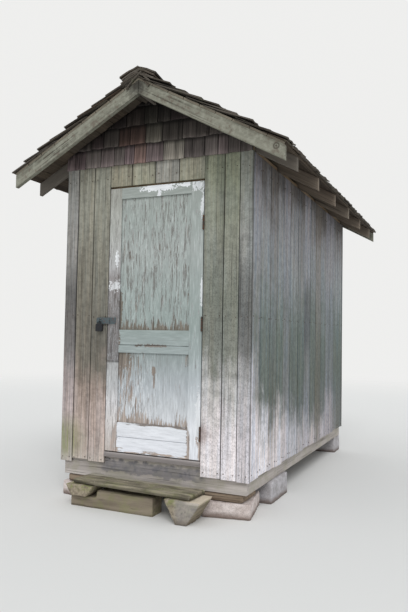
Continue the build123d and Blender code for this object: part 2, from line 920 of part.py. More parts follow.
# Staple: a bent rod through which the lock's shackle hangs
with BuildPart() as hasp_staple:
    with BuildLine(Plane.YZ.offset(staple_x)) as staple_path:
        FilletPolyline(
            (strap_front, hasp_z - staple_span / 2),
            (strap_front - staple_reach, hasp_z - staple_span / 2),
            (strap_front - staple_reach, hasp_z + staple_span / 2),
            (strap_front, hasp_z + staple_span / 2),
            radius=staple_bend,
        )
    with BuildSketch(Plane.XZ.offset(-strap_front)):
        with Locations((staple_x, hasp_z - staple_span / 2)):
            Circle(staple_rod / 2)
    sweep(path=staple_path.line)
hasp_staple.part.label = "hasp_staple"
export_step(hasp_staple.part, "parts/hasp_staple.step")

# Padlock: a plain body hung by its shackle on the staple's lower leg
lock_y = strap_front - lock_offset
shackle_crown = hasp_z - staple_span / 2 + (staple_rod + shackle_rod) / 2 + shackle_play
lock_top = shackle_crown - shackle_rise
shackle_radius = shackle_span / 2

with BuildPart() as padlock:
    with Locations((staple_x, lock_y, lock_top)):
        Box(*lock_size, align=(Align.CENTER, Align.CENTER, Align.MAX))
    fillet(padlock.edges().filter_by(Axis.Y), radius=2 * lock_edge)
    fillet(padlock.faces().filter_by(Axis.Y).edges(), radius=lock_edge)
    with BuildLine(Plane.XZ.offset(-lock_y)) as shackle_path:
        left_leg = Line(
            (staple_x - shackle_radius, lock_top - shackle_seat),
            (staple_x - shackle_radius, shackle_crown - shackle_radius),
        )
        crown = ThreePointArc(
            left_leg @ 1,
            (staple_x, shackle_crown),
            (staple_x + shackle_radius, shackle_crown - shackle_radius),
        )
        Line(crown @ 1, (staple_x + shackle_radius, lock_top - shackle_seat))
    with BuildSketch(Plane.XY.offset(lock_top - shackle_seat)):
        with Locations((staple_x - shackle_radius, lock_y)):
            Circle(shackle_rod / 2)
    sweep(path=shackle_path.line)
padlock.part.label = "padlock"
export_step(padlock.part, "parts/padlock.step")
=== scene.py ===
import math
import random

import bmesh
import bpy
from mathutils import Matrix, Vector


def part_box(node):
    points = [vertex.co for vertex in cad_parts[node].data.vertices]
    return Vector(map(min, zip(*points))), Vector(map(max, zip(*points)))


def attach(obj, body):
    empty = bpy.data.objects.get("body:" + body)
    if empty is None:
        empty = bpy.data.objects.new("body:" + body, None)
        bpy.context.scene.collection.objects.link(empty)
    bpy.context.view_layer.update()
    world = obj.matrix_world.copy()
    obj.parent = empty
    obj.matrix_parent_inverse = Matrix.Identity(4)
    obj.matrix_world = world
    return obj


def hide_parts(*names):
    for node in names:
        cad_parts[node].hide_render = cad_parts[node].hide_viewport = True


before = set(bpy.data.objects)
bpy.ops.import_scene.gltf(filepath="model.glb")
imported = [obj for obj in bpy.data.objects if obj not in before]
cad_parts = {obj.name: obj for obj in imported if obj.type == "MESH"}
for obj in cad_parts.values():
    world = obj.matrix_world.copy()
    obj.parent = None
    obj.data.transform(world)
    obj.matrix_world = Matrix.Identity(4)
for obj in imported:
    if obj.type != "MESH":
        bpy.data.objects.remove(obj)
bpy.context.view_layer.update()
scene = bpy.context.scene


# Stage: a pale floor that fades into a pale surround, an even sky, and one soft lamp
# from the front. The camera's place and lens were solved from the corners of the shed.
def rgb(colour):
    """A plain colour with its alpha. A colour that a node gives is left as it is."""
    return (*colour, 1.0) if isinstance(colour, tuple) else colour


relief_strength = 0.8


class Finish:
    """The finish of one material, built up from nodes."""

    def __init__(self, name):
        self.material = bpy.data.materials.new(name)
        self.material.use_nodes = True
        self.tree = self.material.node_tree
        self.shader = self.tree.nodes["Principled BSDF"]

    def give(self, socket, value):
        """Links a socket to what another node gives, or sets it to a plain value."""
        if isinstance(value, bpy.types.NodeSocket):
            self.tree.links.new(value, socket)
        else:
            socket.default_value = value

    def node(self, kind, inputs, result=0, **settings):
        """Adds a node, sets or links its inputs, and gives one of its outputs."""
        made = self.tree.nodes.new(kind)
        for setting, value in settings.items():
            setattr(made, setting, value)
        for socket, value in inputs.items():
            self.give(made.inputs[socket], value)
        return made.outputs[result]

    def place(self):
        """The point's place on the shed."""
        return self.node("ShaderNodeTexCoord", {}, "Object")

    def axis(self, vector, name):
        """One coordinate of a vector."""
        return self.node("ShaderNodeSeparateXYZ", {0: vector}, name)

    def side(self):
        """How far to the right of the ridge the point is."""
        return self.axis(self.place(), "X")

    def depth(self):
        """How far behind the middle of the shed the point is."""
        return self.axis(self.place(), "Y")

    def level(self):
        """How high above the ground the point is."""
        return self.axis(self.place(), "Z")

    def reach(self, centre):
        """How far from a centre the point is."""
        return self.vector("DISTANCE", self.place(), centre, "Value")

    def grain(self):
        """The point's place on its own board, along whose length y runs."""
        return self.node("ShaderNodeAttribute", {}, "Vector", attribute_name="grain")

    def board(self):
        """A number from 0 to 1 that each board has for itself."""
        return self.node("ShaderNodeAttribute", {}, "Fac", attribute_name="board")

    def rim(self):
        """0 on a board's long edges and 1 along its middle."""
        across = self.node("ShaderNodeAttribute", {}, "Fac", attribute_name="across")
        return self.minus(1.0, self.math("ABSOLUTE", self.weighed(across, 2.0, -1.0)))

    def math(self, kind, first, second=0.0, third=0.0):
        """An operation on numbers."""
        return self.node("ShaderNodeMath", {0: first, 1: second, 2: third}, operation=kind)

    def times(self, value, *factors):
        """A product of numbers."""
        for factor in factors:
            value = self.math("MULTIPLY", value, factor)
        return value

    def plus(self, value, *parts):
        """A sum of numbers."""
        for part in parts:
            value = self.math("ADD", value, part)
        return value

    def minus(self, value, part):
        """A difference of two numbers."""
        return self.math("SUBTRACT", value, part)

    def weighed(self, value, weight, base):
        """A number times its weight, added to a base."""
        return self.math("MULTIPLY_ADD", value, weight, base)

    def vector(self, kind, first, second=(0.0, 0.0, 0.0), result="Vector"):
        """An operation on vectors."""
        return self.node("ShaderNodeVectorMath", {0: first, 1: second}, result, operation=kind)

    def noise(self, vector, across, along, detail=4.0, rough=0.55, shift=0.0):
        """Uneven streaks: so many to the metre across the grain and along it."""
        scale = (across, along, across)
        place = {"Vector": vector, "Location": (shift, shift, shift), "Scale": scale}
        scaled = self.node("ShaderNodeMapping", place)
        texture = {"Vector": scaled, "Scale": 1.0, "Detail": detail, "Roughness": rough}
        return self.node("ShaderNodeTexNoise", texture)

    def mottle(self, size, detail=4.0, rough=0.55, shift=0.0):
        """Uneven spots of about one size all over the shed."""
        return self.noise(self.place(), 1 / size, 1 / size, detail, rough, shift)

    def band(self, value, low, high, start=0.0, end=1.0, steps="SMOOTHSTEP"):
        """A smooth step from start to end as a value goes from low to high."""
        ends = {"From Min": low, "From Max": high, "To Min": start, "To Max": end}
        return self.node("ShaderNodeMapRange", {"Value": value, **ends}, interpolation_type=steps)

    def mix(self, share, first, second):
        """A colour with a share of another one over it."""
        colours = {0: share, 6: rgb(first), 7: rgb(second)}
        return self.node("ShaderNodeMix", colours, 2, data_type="RGBA")

    def scaled(self, colour, factor):
        """A colour made lighter or darker by a factor."""
        return self.node("ShaderNodeVectorMath", {0: colour, 3: factor}, operation="SCALE")

    def tinted(self, colour, cast):
        """A colour with its red, green and blue each made stronger or weaker."""
        return self.vector("MULTIPLY", colour, cast)

    def levels(self, value, *stops):
        """A colour for each of several levels of a value, lowest first, and between them."""
        lowest, highest = stops[0][0], stops[-1][0]
        made = self.tree.nodes.new("ShaderNodeValToRGB")
        ramp = made.color_ramp
        ramp.elements[0].color = rgb(stops[0][1])
        ramp.elements[-1].color = rgb(stops[-1][1])
        for level, colour in stops[1:-1]:
            ramp.elements.new((level - lowest) / (highest - lowest)).color = rgb(colour)
        self.give(made.inputs[0], self.band(value, lowest, highest, steps="LINEAR"))
        return made.outputs[0]

    def done(self, colour, roughness, height, depth, specular=0.2):
        """Gives the shader its colour, roughness and relief."""
        bump = {"Strength": relief_strength, "Distance": depth, "Height": height}
        self.give(self.shader.inputs["Base Color"], colour)
        self.give(self.shader.inputs["Roughness"], roughness)
        self.give(self.shader.inputs["Specular IOR Level"], specular)
        self.give(self.shader.inputs["Normal"], self.node("ShaderNodeBump", bump))
        return self.material


floor_tone = (0.80, 0.80, 0.79)
floor_radius = 40.0
floor_sides = 96
floor_clear = (6.0, 16.0)

bpy.ops.object.select_all(action="DESELECT")
bpy.ops.mesh.primitive_circle_add(
    vertices=floor_sides, radius=floor_radius, fill_type="NGON"
)
floor = bpy.context.object
floor.name = "stage_floor"
floor_finish = Finish("stage_floor")
floor_distance = floor_finish.vector("LENGTH", floor_finish.place(), result="Value")
floor_fade = floor_finish.band(floor_distance, *floor_clear, 1.0, 0.0)
floor_finish.give(floor_finish.shader.inputs["Base Color"], rgb(floor_tone))
floor_finish.give(floor_finish.shader.inputs["Roughness"], 0.9)
floor_finish.give(floor_finish.shader.inputs["Specular IOR Level"], 0.0)
floor_finish.give(floor_finish.shader.inputs["Alpha"], floor_fade)
floor.data.materials.append(floor_finish.material)

sky_tone = (0.97, 0.99, 1.0)
sky_light = 0.72
surround_tone = (0.86, 0.86, 0.85)
sky = bpy.data.worlds.new("even_sky")
sky.use_nodes = True
scene.world = sky
sky_tree = sky.node_tree
sky_lit = sky_tree.nodes["Background"]
sky_lit.inputs["Color"].default_value = rgb(sky_tone)
sky_lit.inputs["Strength"].default_value = sky_light
sky_seen = sky_tree.nodes.new("ShaderNodeBackground")
sky_seen.inputs["Color"].default_value = rgb(surround_tone)
sky_rays = sky_tree.nodes.new("ShaderNodeLightPath")
seen = sky_rays.outputs["Is Camera Ray"]
for ray in ("Is Glossy Ray", "Is Transmission Ray"):
    either = sky_tree.nodes.new("ShaderNodeMath")
    either.operation = "MAXIMUM"
    sky_tree.links.new(seen, either.inputs[0])
    sky_tree.links.new(sky_rays.outputs[ray], either.inputs[1])
    seen = either.outputs[0]
sky_choice = sky_tree.nodes.new("ShaderNodeMixShader")
sky_tree.links.new(seen, sky_choice.inputs[0])
sky_tree.links.new(sky_lit.outputs[0], sky_choice.inputs[1])
sky_tree.links.new(sky_seen.outputs[0], sky_choice.inputs[2])
sky_tree.links.new(sky_choice.outputs[0], sky_tree.nodes["World Output"].inputs[0])

lamp_place = (2, -6, 6)
lamp_strength = 1.15
lamp_softness = math.radians(30)
lamp_height = math.radians(44)
lamp_side = math.radians(26)
bpy.ops.object.light_add(type="SUN", location=lamp_place)
lamp = bpy.context.object
lamp.name = "soft_lamp"
lamp.rotation_euler = (math.pi / 2 - lamp_height, 0, lamp_side)
lamp.data.energy = lamp_strength
lamp.data.angle = lamp_softness

camera_place = (2.24998, -5.5907, 1.28175)
camera_turn = 0.42334
camera_tilt = 0.04821
camera_roll = 0.01777
focal_pixels = 610.99
picture_height = 612
sensor = 36.0

bpy.ops.object.camera_add()
camera = bpy.context.object
camera.name = "photo_camera"
camera.matrix_world = (
    Matrix.Translation(camera_place)
    @ Matrix.Rotation(camera_turn, 4, "Z")
    @ Matrix.Rotation(math.pi / 2 + camera_tilt, 4, "X")
    @ Matrix.Rotation(camera_roll, 4, "Z")
)
camera.data.sensor_width = sensor
camera.data.lens = focal_pixels / picture_height * sensor
scene.camera = camera
scene.view_settings.view_transform = "Standard"


# Foundation pads: cast blocks set straight on the ground, the front pair low and broad.
# The cement is pale and pinkish, worn round at the edges and pitted, with soil at the foot.
merge_distance = 1e-5
flat_angle = math.radians(0.5)


def take_up(piece):
    """Makes a piece the only one that is selected, and the active one."""
    bpy.ops.object.select_all(action="DESELECT")
    piece.select_set(True)
    bpy.context.view_layer.objects.active = piece


def copy_of(name, node):
    """A copy of a solid, merged, with its flat faces made whole again."""
    piece = bpy.data.objects.new(name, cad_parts[node].data.copy())
    piece.data.materials.clear()
    scene.collection.objects.link(piece)
    take_up(piece)
    bpy.ops.object.mode_set(mode="EDIT")
    bpy.ops.mesh.select_all(action="SELECT")
    bpy.ops.mesh.remove_doubles(threshold=merge_distance)
    bpy.ops.mesh.dissolve_limited(angle_limit=flat_angle)
    bpy.ops.object.mode_set(mode="OBJECT")
    return piece


def apply_modifier(piece, kind, **settings):
    """Adds a modifier to a piece and applies it."""
    take_up(piece)
    modifier = piece.modifiers.new(kind.lower(), kind)
    for setting, value in settings.items():
        setattr(modifier, setting, value)
    bpy.ops.object.modifier_apply(modifier=modifier.name)


def select_vertices(piece, test):
    """Selects the vertices whose place passes a test, and stays in edit mode."""
    bpy.ops.object.mode_set(mode="EDIT")
    bpy.ops.mesh.select_mode(type="VERT")
    bpy.ops.mesh.select_all(action="DESELECT")
    shape = bmesh.from_edit_mesh(piece.data)
    for vertex in shape.verts:
        vertex.select_set(bool(test(vertex.co)))
    shape.select_flush(True)
    bmesh.update_edit_mesh(piece.data)


def swell(piece, depth, lump, outside, octaves=2):
    """Moves a piece's surface in and out unevenly, mostly in, by lumps of about one size."""
    lumps = bpy.data.textures.new(piece.name + "_lumps", "CLOUDS")
    lumps.noise_scale = lump
    lumps.noise_depth = octaves
    apply_modifier(
        piece,
        "DISPLACE",
        texture=lumps,
        texture_coords="LOCAL",
        strength=depth,
        mid_level=outside,
    )


def wear_down(piece, cell, depth, lump, foot=None):
    """Turns a sharp solid into a worn one: even cells, then lumps of about one size.
    Where it stands on the ground, foot is that level, and its underside stays flat."""
    apply_modifier(piece, "REMESH", mode="VOXEL", voxel_size=cell)
    apply_modifier(piece, "SMOOTH", factor=0.5, iterations=3)
    swell(piece, depth, lump, 0.75, octaves=3)
    if foot is not None:
        select_vertices(piece, lambda place: place.z < foot + cell)
        bpy.ops.transform.resize(value=(1, 1, 0), center_override=(0, 0, foot))
        bpy.ops.object.mode_set(mode="OBJECT")
    bpy.ops.object.shade_smooth()


ground = 0.0
front_pad_tones = ((0.78, 0.70, 0.675), (0.46, 0.38, 0.35))
side_pad_tones = ((0.56, 0.545, 0.57), (0.32, 0.30, 0.30))
pit_tone = (0.20, 0.17, 0.15)
soil_tone = (0.15, 0.10, 0.075)


def cement_finish(name, pale, dark):
    """Worn cement: a pale skin, darker pits and soil that has splashed up from the ground."""
    finish = Finish(name)
    clouds = finish.mottle(0.09, 6.0, 0.65)
    grit = finish.mottle(0.007, 3.0, 0.6)
    colour = finish.levels(clouds, (0.34, dark), (0.62, pale))
    colour = finish.scaled(colour, finish.band(grit, 0.35, 0.65, 0.80, 1.15))
    colour = finish.mix(finish.band(grit, 0.60, 0.72, 0.0, 0.5), colour, pit_tone)
    soil = finish.weighed(clouds, -0.10, finish.level())
    colour = finish.mix(finish.band(soil, -0.04, 0.0, 0.75, 0.0), colour, soil_tone)
    return finish.done(colour, 0.92, finish.weighed(clouds, 0.6, grit), 0.004)


front_pads = copy_of("front_pads", "pads_front")
wear_down(front_pads, cell=0.012, depth=0.010, lump=0.07, foot=ground)
front_pads.data.materials.append(cement_finish("pad_cement", *front_pad_tones))
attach(front_pads, "shed")
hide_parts("pads_front")

side_pads = copy_of("side_pads", "pads_side")
wear_down(side_pads, cell=0.014, depth=0.012, lump=0.08, foot=ground)
side_pads.data.materials.append(cement_finish("side_pad_cement", *side_pad_tones))
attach(side_pads, "shed")
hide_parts("pads_side")


# Timber packing: short rough baulks that lie between the low front pads and the sills.
# They are brown, damp and split, laid loose with the shed's weight on them.
def find_boards(mesh):
    """Lists of the vertices of each separate solid in a mesh."""
    leader = list(range(len(mesh.vertices)))

    def top(vertex):
        while leader[vertex] != vertex:
            leader[vertex] = leader[leader[vertex]]
            vertex = leader[vertex]
        return vertex

    for edge in mesh.edges:
        leader[top(edge.vertices[0])] = top(edge.vertices[1])
    boards = {}
    for vertex in range(len(leader)):
        boards.setdefault(top(vertex), []).append(vertex)
    return sorted(boards.values())


mostly_along = 0.7
grain_shift = 40.0


def mark_grain(piece, along, seed, tone_at=None):
    """Gives every board of a piece its own grain, with y measured from its lower end.
    tone_at gives a board's number from its middle, where it isn't left to chance."""
    mesh = piece.data
    chance = random.Random(seed)
    count = len(mesh.vertices)
    grain = [(0.0, 0.0, 0.0)] * count
    share = [0.0] * count
    across_share = [0.0] * count
    for board in find_boards(mesh):
        corners = [mesh.vertices[vertex].co for vertex in board]
        middle = sum(corners, Vector()) / len(corners)
        length = Vector(along(middle)).normalized()
        span = [
            max(corner[axis] for corner in corners) - min(corner[axis] for corner in corners)
            for axis in range(3)
        ]
        crosswise = [axis for axis in range(3) if abs(length[axis]) < mostly_along]
        through = Vector((0, 0, 0))
        through[min(crosswise, key=lambda axis: span[axis])] = 1.0
        through = (through - length * through.dot(length)).normalized()
        across = length.cross(through)
        foot = min(corner.dot(length) for corner in corners)
        left = min(corner.dot(across) for corner in corners)
        right = max(corner.dot(across) for corner in corners)
        side_shift = chance.uniform(-grain_shift, grain_shift)
        through_shift = chance.uniform(-grain_shift, grain_shift)
        tone = chance.random()
        if tone_at is not None:
            tone = tone_at(middle)
        for vertex, corner in zip(board, corners):
            grain[vertex] = (
                corner.dot(across) + side_shift,
                corner.dot(length) - foot,
                corner.dot(through) + through_shift,
            )
            share[vertex] = tone
            across_share[vertex] = (corner.dot(across) - left) / (right - left)
    store_grain(mesh, grain, share, across_share)


def store_grain(mesh, grain, share, across_share):
    """Writes the grain, the number and the share across of each board to a mesh."""
    vectors = mesh.attributes.new("grain", "FLOAT_VECTOR", "POINT")
    vectors.data.foreach_set("vector", [number for point in grain for number in point])
    shares = mesh.attributes.new("board", "FLOAT", "POINT")
    shares.data.foreach_set("value", share)
    sides = mesh.attributes.new("across", "FLOAT", "POINT")
    sides.data.foreach_set("value", across_share)


def along_x(middle):
    """Direction of a board that runs across the shed, wherever its middle is."""
    return (1, 0, 0)


def along_y(middle):
    """Direction of a board that runs from the front to the rear."""
    return (0, 1, 0)


def along_z(middle):
    """Direction of an upright board."""
    return (0, 0, 1)


wood_split = (0.035, 0.026, 0.020)


def wood_streaks(finish, tones, fine=85.0, broad=13.0, cracked=0.6, split=wood_split):
    """Colour and relief of bare old wood: fine and broad streaks, so many to the metre, and
    splits. Its tones are those of light and dark streaks and of odd boards."""
    light, dark, odd = tones
    grain = finish.grain()
    wide = finish.noise(grain, broad, 0.8, 3.0, 0.55)
    thin = finish.noise(grain, fine, 2.4, 5.0, 0.62, 5.0)
    both = finish.times(finish.plus(wide, thin), 0.5)
    colour = finish.levels(both, (0.38, dark), (0.60, light))
    colour = finish.mix(finish.band(finish.board(), 0.35, 0.95, 0.0, 0.6), colour, odd)
    cracks = finish.band(finish.noise(grain, fine * 1.7, 1.6, 3.0, 0.5, 11.0), 0.60, 0.68)
    colour = finish.mix(finish.times(cracks, cracked), colour, split)
    return colour, finish.weighed(cracks, -0.8, both)


def bare_wood(name, tones, roughness, depth, **streaks):
    """Bare old wood with nothing over it."""
    finish = Finish(name)
    colour, relief = wood_streaks(finish, tones, **streaks)
    return finish.done(colour, roughness, relief, depth)


packing_tones = ((0.32, 0.25, 0.185), (0.17, 0.125, 0.09), (0.30, 0.24, 0.18))

packing = copy_of("packing", "packing_front")
wear_down(packing, cell=0.009, depth=0.006, lump=0.06)
mark_grain(packing, along_x, 3)
packing.data.materials.append(
    bare_wood("packing_timber", packing_tones, 0.93, 0.006, fine=60.0, broad=18.0, cracked=0.4)
)
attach(packing, "shed")
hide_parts("packing_front")


# Step: a mossy plank on two split logs, the left log let into a rough baulk. The wood
# was never painted, has gone olive and soft at the edges, and moss grows on the logs.
def moss_over(finish, colour, share, tone, size=0.05):
    """Lets moss grow in patches where a share allows it."""
    patches = finish.mottle(size, 6.0, 0.7, 21.0)
    return finish.mix(finish.times(finish.band(patches, 0.45, 0.60), share), colour, tone)


moss_tone = (0.22, 0.24, 0.09)
plank_tones = ((0.37, 0.33, 0.25), (0.15, 0.13, 0.09), (0.28, 0.25, 0.185))
plank_fleck = (0.55, 0.52, 0.44)
plank_rear_tone = (0.50, 0.47, 0.42)
plank_rear = (-1.575, -1.535)
plank_shade_levels = (0.176, 0.192)


def plank_finish():
    """The step's plank: olive, blotched with damp, mossy, pale at its rear, with painted shade on
    its lower edge.
    """
    finish = Finish("plank_timber")
    colour, relief = wood_streaks(finish, plank_tones, 60.0, 22.0)
    colour = moss_over(finish, colour, 0.35, moss_tone, 0.09)
    flecks = finish.mottle(0.012, 3.0, 0.6, 9.0)
    colour = finish.mix(finish.band(flecks, 0.62, 0.70, 0.0, 0.6), colour, plank_fleck)
    damp = finish.noise(finish.grain(), 24.0, 4.5, 6.0, 0.65, 15.0)
    colour = finish.scaled(colour, finish.band(damp, 0.36, 0.60, 0.50, 1.10))
    rear = finish.weighed(damp, 0.10, finish.depth())
    colour = finish.mix(finish.band(rear, *plank_rear, 0.0, 0.55), colour, plank_rear_tone)
    # Painted shade: the plank's lower edge is darkened by half.
    colour = finish.scaled(colour, finish.band(finish.level(), *plank_shade_levels, 0.50, 1.0))
    return finish.done(colour, 0.9, relief, 0.006)


plank = copy_of("plank", "step_plank")
wear_down(plank, cell=0.006, depth=0.004, lump=0.12)
mark_grain(plank, along_x, 5)
plank.data.materials.append(plank_finish())
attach(plank, "shed")
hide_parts("step_plank")

baulk_tones = ((0.34, 0.285, 0.215), (0.15, 0.12, 0.088), (0.27, 0.235, 0.18))
baulk_finish = Finish("baulk_timber")
baulk_colour, baulk_relief = wood_streaks(baulk_finish, baulk_tones, 30.0, 9.0, 0.25)
baulk_colour = moss_over(baulk_finish, baulk_colour, 0.3, moss_tone, 0.10)

block = copy_of("baulk", "step_block")
wear_down(block, cell=0.009, depth=0.008, lump=0.08, foot=ground)
mark_grain(block, along_x, 7)
block.data.materials.append(baulk_finish.done(baulk_colour, 0.93, baulk_relief, 0.005))
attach(block, "shed")
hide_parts("step_block")

log_tones = ((0.42, 0.36, 0.27), (0.19, 0.155, 0.12), (0.33, 0.31, 0.24))
log_cut = (0.68, 0.59, 0.47)
log_end = (0.34, 0.33, 0.34)
log_soil = (0.10, 0.075, 0.055)


def log_finish():
    """The split logs: mossy above and soiled below. The right one's split face is pale and
    freshly cut, and its end is grey."""
    finish = Finish("split_log")
    colour, relief = wood_streaks(finish, log_tones, 50.0, 20.0, 0.4)
    side = finish.side()
    level = finish.level()
    colour = moss_over(finish, colour, finish.band(level, 0.11, 0.15, 0.15, 0.75), moss_tone)
    cut = finish.times(finish.band(side, 0.43, 0.47), finish.band(level, 0.140, 0.152), 0.85)
    colour = finish.mix(cut, colour, log_cut)
    end = finish.band(finish.depth(), -1.826, -1.834)
    end = finish.times(end, finish.band(side, 0.34, 0.40), 0.45)
    colour = finish.mix(end, colour, log_end)
    colour = finish.mix(finish.band(level, 0.06, 0.0, 0.0, 0.6), colour, log_soil)
    return finish.done(colour, 0.93, relief, 0.007)


logs = copy_of("split_logs", "step_bearers")
wear_down(logs, cell=0.009, depth=0.010, lump=0.07, foot=ground)
mark_grain(logs, along_y, 9)
logs.data.materials.append(log_finish())
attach(logs, "shed")
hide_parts("step_bearers")


# Floor frame: two-inch sills spiked together at the corners, with joists between them.
# The sills stand in the splash from the roof: bleached and greenish, with a band of painted shade
# under the door.
ease_angle = math.radians(25)
crease_angle = math.radians(34)


def ease(piece, arris):
    """Takes the sharp edges off a piece."""
    apply_modifier(
        piece, "BEVEL", width=arris, segments=2, limit_method="ANGLE", angle_limit=ease_angle
    )


def cut_across(piece, axis, spacing):
    """Divides a piece along its length, so that it can bow and wander."""
    low = min(vertex.co[axis] for vertex in piece.data.vertices)
    high = max(vertex.co[axis] for vertex in piece.data.vertices)
    count = max(int((high - low) / spacing), 1)
    normal = [0.0, 0.0, 0.0]
    normal[axis] = 1.0
    take_up(piece)
    bpy.ops.object.mode_set(mode="EDIT")
    for cut in range(1, count):
        station = [0.0, 0.0, 0.0]
        station[axis] = low + (high - low) * cut / count
        bpy.ops.mesh.select_all(action="SELECT")
        bpy.ops.mesh.bisect(plane_co=station, plane_no=normal)
    bpy.ops.object.mode_set(mode="OBJECT")


def shade(piece):
    """Smooth shading over the eased edges, with the flat faces kept flat."""
    take_up(piece)
    bpy.ops.object.shade_smooth_by_angle(angle=crease_angle)
    apply_modifier(piece, "WEIGHTED_NORMAL", keep_sharp=True)


def let_wander(piece, depth, length, seed):
    """Moves a piece's surface in and out a little, as boards do when they dry."""
    swell(piece, depth, length, 0.8)
    bpy.ops.object.mode_set(mode="EDIT")
    bpy.ops.mesh.select_all(action="SELECT")
    bpy.ops.transform.vertex_random(offset=depth / 6, seed=seed)
    bpy.ops.object.mode_set(mode="OBJECT")
    shade(piece)


def old_timber(name, node, along, arris, axis, spacing, depth, length, seed, grain_seed):
    """Timbers from their solid, eased, divided along an axis by a spacing, and let wander
    by a depth over a length."""
    piece = copy_of(name, node)
    ease(piece, arris)
    cut_across(piece, axis, spacing)
    let_wander(piece, depth, length, seed)
    mark_grain(piece, along, grain_seed)
    return piece


sill_tones = ((0.60, 0.55, 0.52), (0.31, 0.28, 0.26), (0.46, 0.42, 0.39))
# The tone, place and edges of a band of painted shade on the sill under the threshold.
sill_green = (0.30, 0.29, 0.18)
sill_shade_tone = (0.14, 0.14, 0.165)
shade_left_edge, shade_right_edge = -0.43, 0.42
shade_low_edge, shade_high_edge = 0.235, 0.305
shade_ragged = 0.05
shade_soft = 0.02
joist_tones = ((0.34, 0.27, 0.19), (0.16, 0.12, 0.08), (0.30, 0.25, 0.19))


def sill_finish(name, shade_share):
    """Bleached sill timber, green in patches, with a ragged band of painted shade, by a share,
    under the door.
    """
    finish = Finish(name)
    colour, relief = wood_streaks(finish, sill_tones, 70.0, 20.0, 0.4)
    colour = moss_over(finish, colour, 0.30, sill_green, 0.12)
    shade_mottle = finish.mottle(0.05, 5.0, 0.6, 3.0)
    ragged = finish.weighed(shade_mottle, 2 * shade_ragged, -shade_ragged)
    sideways = finish.weighed(ragged, 2.0, finish.side())
    upward = finish.plus(finish.level(), ragged)
    # Painted shade: a ragged dark band on the sill under the threshold, where the share allows it.
    painted_shade = finish.times(
        finish.band(sideways, shade_left_edge - shade_ragged, shade_left_edge + shade_ragged),
        finish.band(sideways, shade_right_edge + shade_ragged, shade_right_edge - shade_ragged),
        finish.band(upward, shade_low_edge - shade_soft, shade_low_edge),
        finish.band(upward, shade_high_edge + shade_soft, shade_high_edge),
        finish.band(shade_mottle, 0.30, 0.55, 1.0, 0.65),
        shade_share,
    )
    return finish.done(finish.mix(painted_shade, colour, sill_shade_tone), 0.9, relief, 0.005)


for sill_name, sill_node, sill_axis, sill_along, sill_timber in (
    ("sills_across", "end_sills", 0, along_x, sill_finish("sill_timber", 0.85)),
    ("sills_along", "side_sills", 1, along_y, sill_finish("side_sill_timber", 0.0)),
):
    sills = old_timber(
        sill_name, sill_node, sill_along, arris=0.004, axis=sill_axis, spacing=0.08,
        depth=0.003, length=0.25, seed=1, grain_seed=11,
    )
    sills.data.materials.append(sill_timber)
    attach(sills, "shed")
    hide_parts(sill_node)

joists = old_timber(
    "joists", "floor_joists", along_x, arris=0.002, axis=0, spacing=0.25,
    depth=0.002, length=0.3, seed=3, grain_seed=13,
)
joists.data.materials.append(bare_wood("joist_timber", joist_tones, 0.88, 0.003))
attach(joists, "shed")
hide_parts("floor_joists")


# Floor: planed boards nailed on the joists, trodden pale down the middle and dusty at
# the walls. A rounded strip closes the doorway and takes the weather and the boots.
def select_edges(piece, test):
    """In edit mode, selects the edges whose two ends pass a test together."""
    bpy.ops.mesh.select_mode(type="EDGE")
    bpy.ops.mesh.select_all(action="DESELECT")
    shape = bmesh.from_edit_mesh(piece.data)
    for edge in shape.edges:
        edge.select_set(bool(test(edge.verts[0].co, edge.verts[1].co)))
    bmesh.update_edit_mesh(piece.data)


def board_stock(name, boards, axis, arris, spacing, seed):
    """Separate boards as one piece, each given by two corners and all along one axis, with
    eased edges. Their length is divided by a spacing, and they are a little uneven."""
    bpy.ops.object.select_all(action="DESELECT")
    piece = None
    for low, high in boards:
        middle = [(a + b) / 2 for a, b in zip(low, high)]
        size = [b - a for a, b in zip(low, high)]
        bpy.ops.mesh.primitive_cube_add(size=1, location=middle, scale=size)
        if piece is None:
            piece = bpy.context.object
            piece.name = name
            bpy.ops.object.transform_apply(location=True, rotation=True, scale=True)
            bpy.ops.object.mode_set(mode="EDIT")
    bpy.ops.mesh.select_all(action="SELECT")
    bpy.ops.mesh.bevel(offset=arris, segments=2, affect="EDGES")
    select_edges(piece, lambda start, end: abs(start[axis] - end[axis]) > spacing)
    runs = [
        abs(edge.verts[0].co[axis] - edge.verts[1].co[axis])
        for edge in bmesh.from_edit_mesh(piece.data).edges
    ]
    bpy.ops.mesh.subdivide(number_cuts=max(int(max(runs) / spacing), 1))
    bpy.ops.mesh.select_all(action="SELECT")
    bpy.ops.transform.vertex_random(offset=arris / 5, seed=seed)
    bpy.ops.object.mode_set(mode="OBJECT")
    return piece


floor_board_count = 10
floor_board_gap = 0.003
floor_board_tones = ((0.42, 0.34, 0.25), (0.24, 0.18, 0.125), (0.38, 0.34, 0.29))
dust_tone = (0.38, 0.34, 0.30)

boards_finish = Finish("floor_boards")
boards_colour, boards_relief = wood_streaks(boards_finish, floor_board_tones, 95.0, 14.0)
dust = boards_finish.band(boards_finish.mottle(0.35, 6.0, 0.6), 0.45, 0.65, 0.0, 0.6)
boards_colour = boards_finish.mix(dust, boards_colour, dust_tone)

floor_low, floor_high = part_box("floor_boards")
floor_board_width = (floor_high.x - floor_low.x) / floor_board_count
floor_stock = []
for number in range(floor_board_count):
    left = floor_low.x + number * floor_board_width
    right = left + floor_board_width - floor_board_gap / 2
    left += floor_board_gap / 2
    floor_stock.append(((left, floor_low.y, floor_low.z), (right, floor_high.y, floor_high.z)))
floor_boards = board_stock("floor_boards_laid", floor_stock, 1, 0.0015, 0.25, 4)
let_wander(floor_boards, 0.0015, 0.3, 4)
mark_grain(floor_boards, along_y, 14)
floor_boards.data.materials.append(boards_finish.done(boards_colour, 0.8, boards_relief, 0.002))
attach(floor_boards, "shed")
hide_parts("floor_boards")

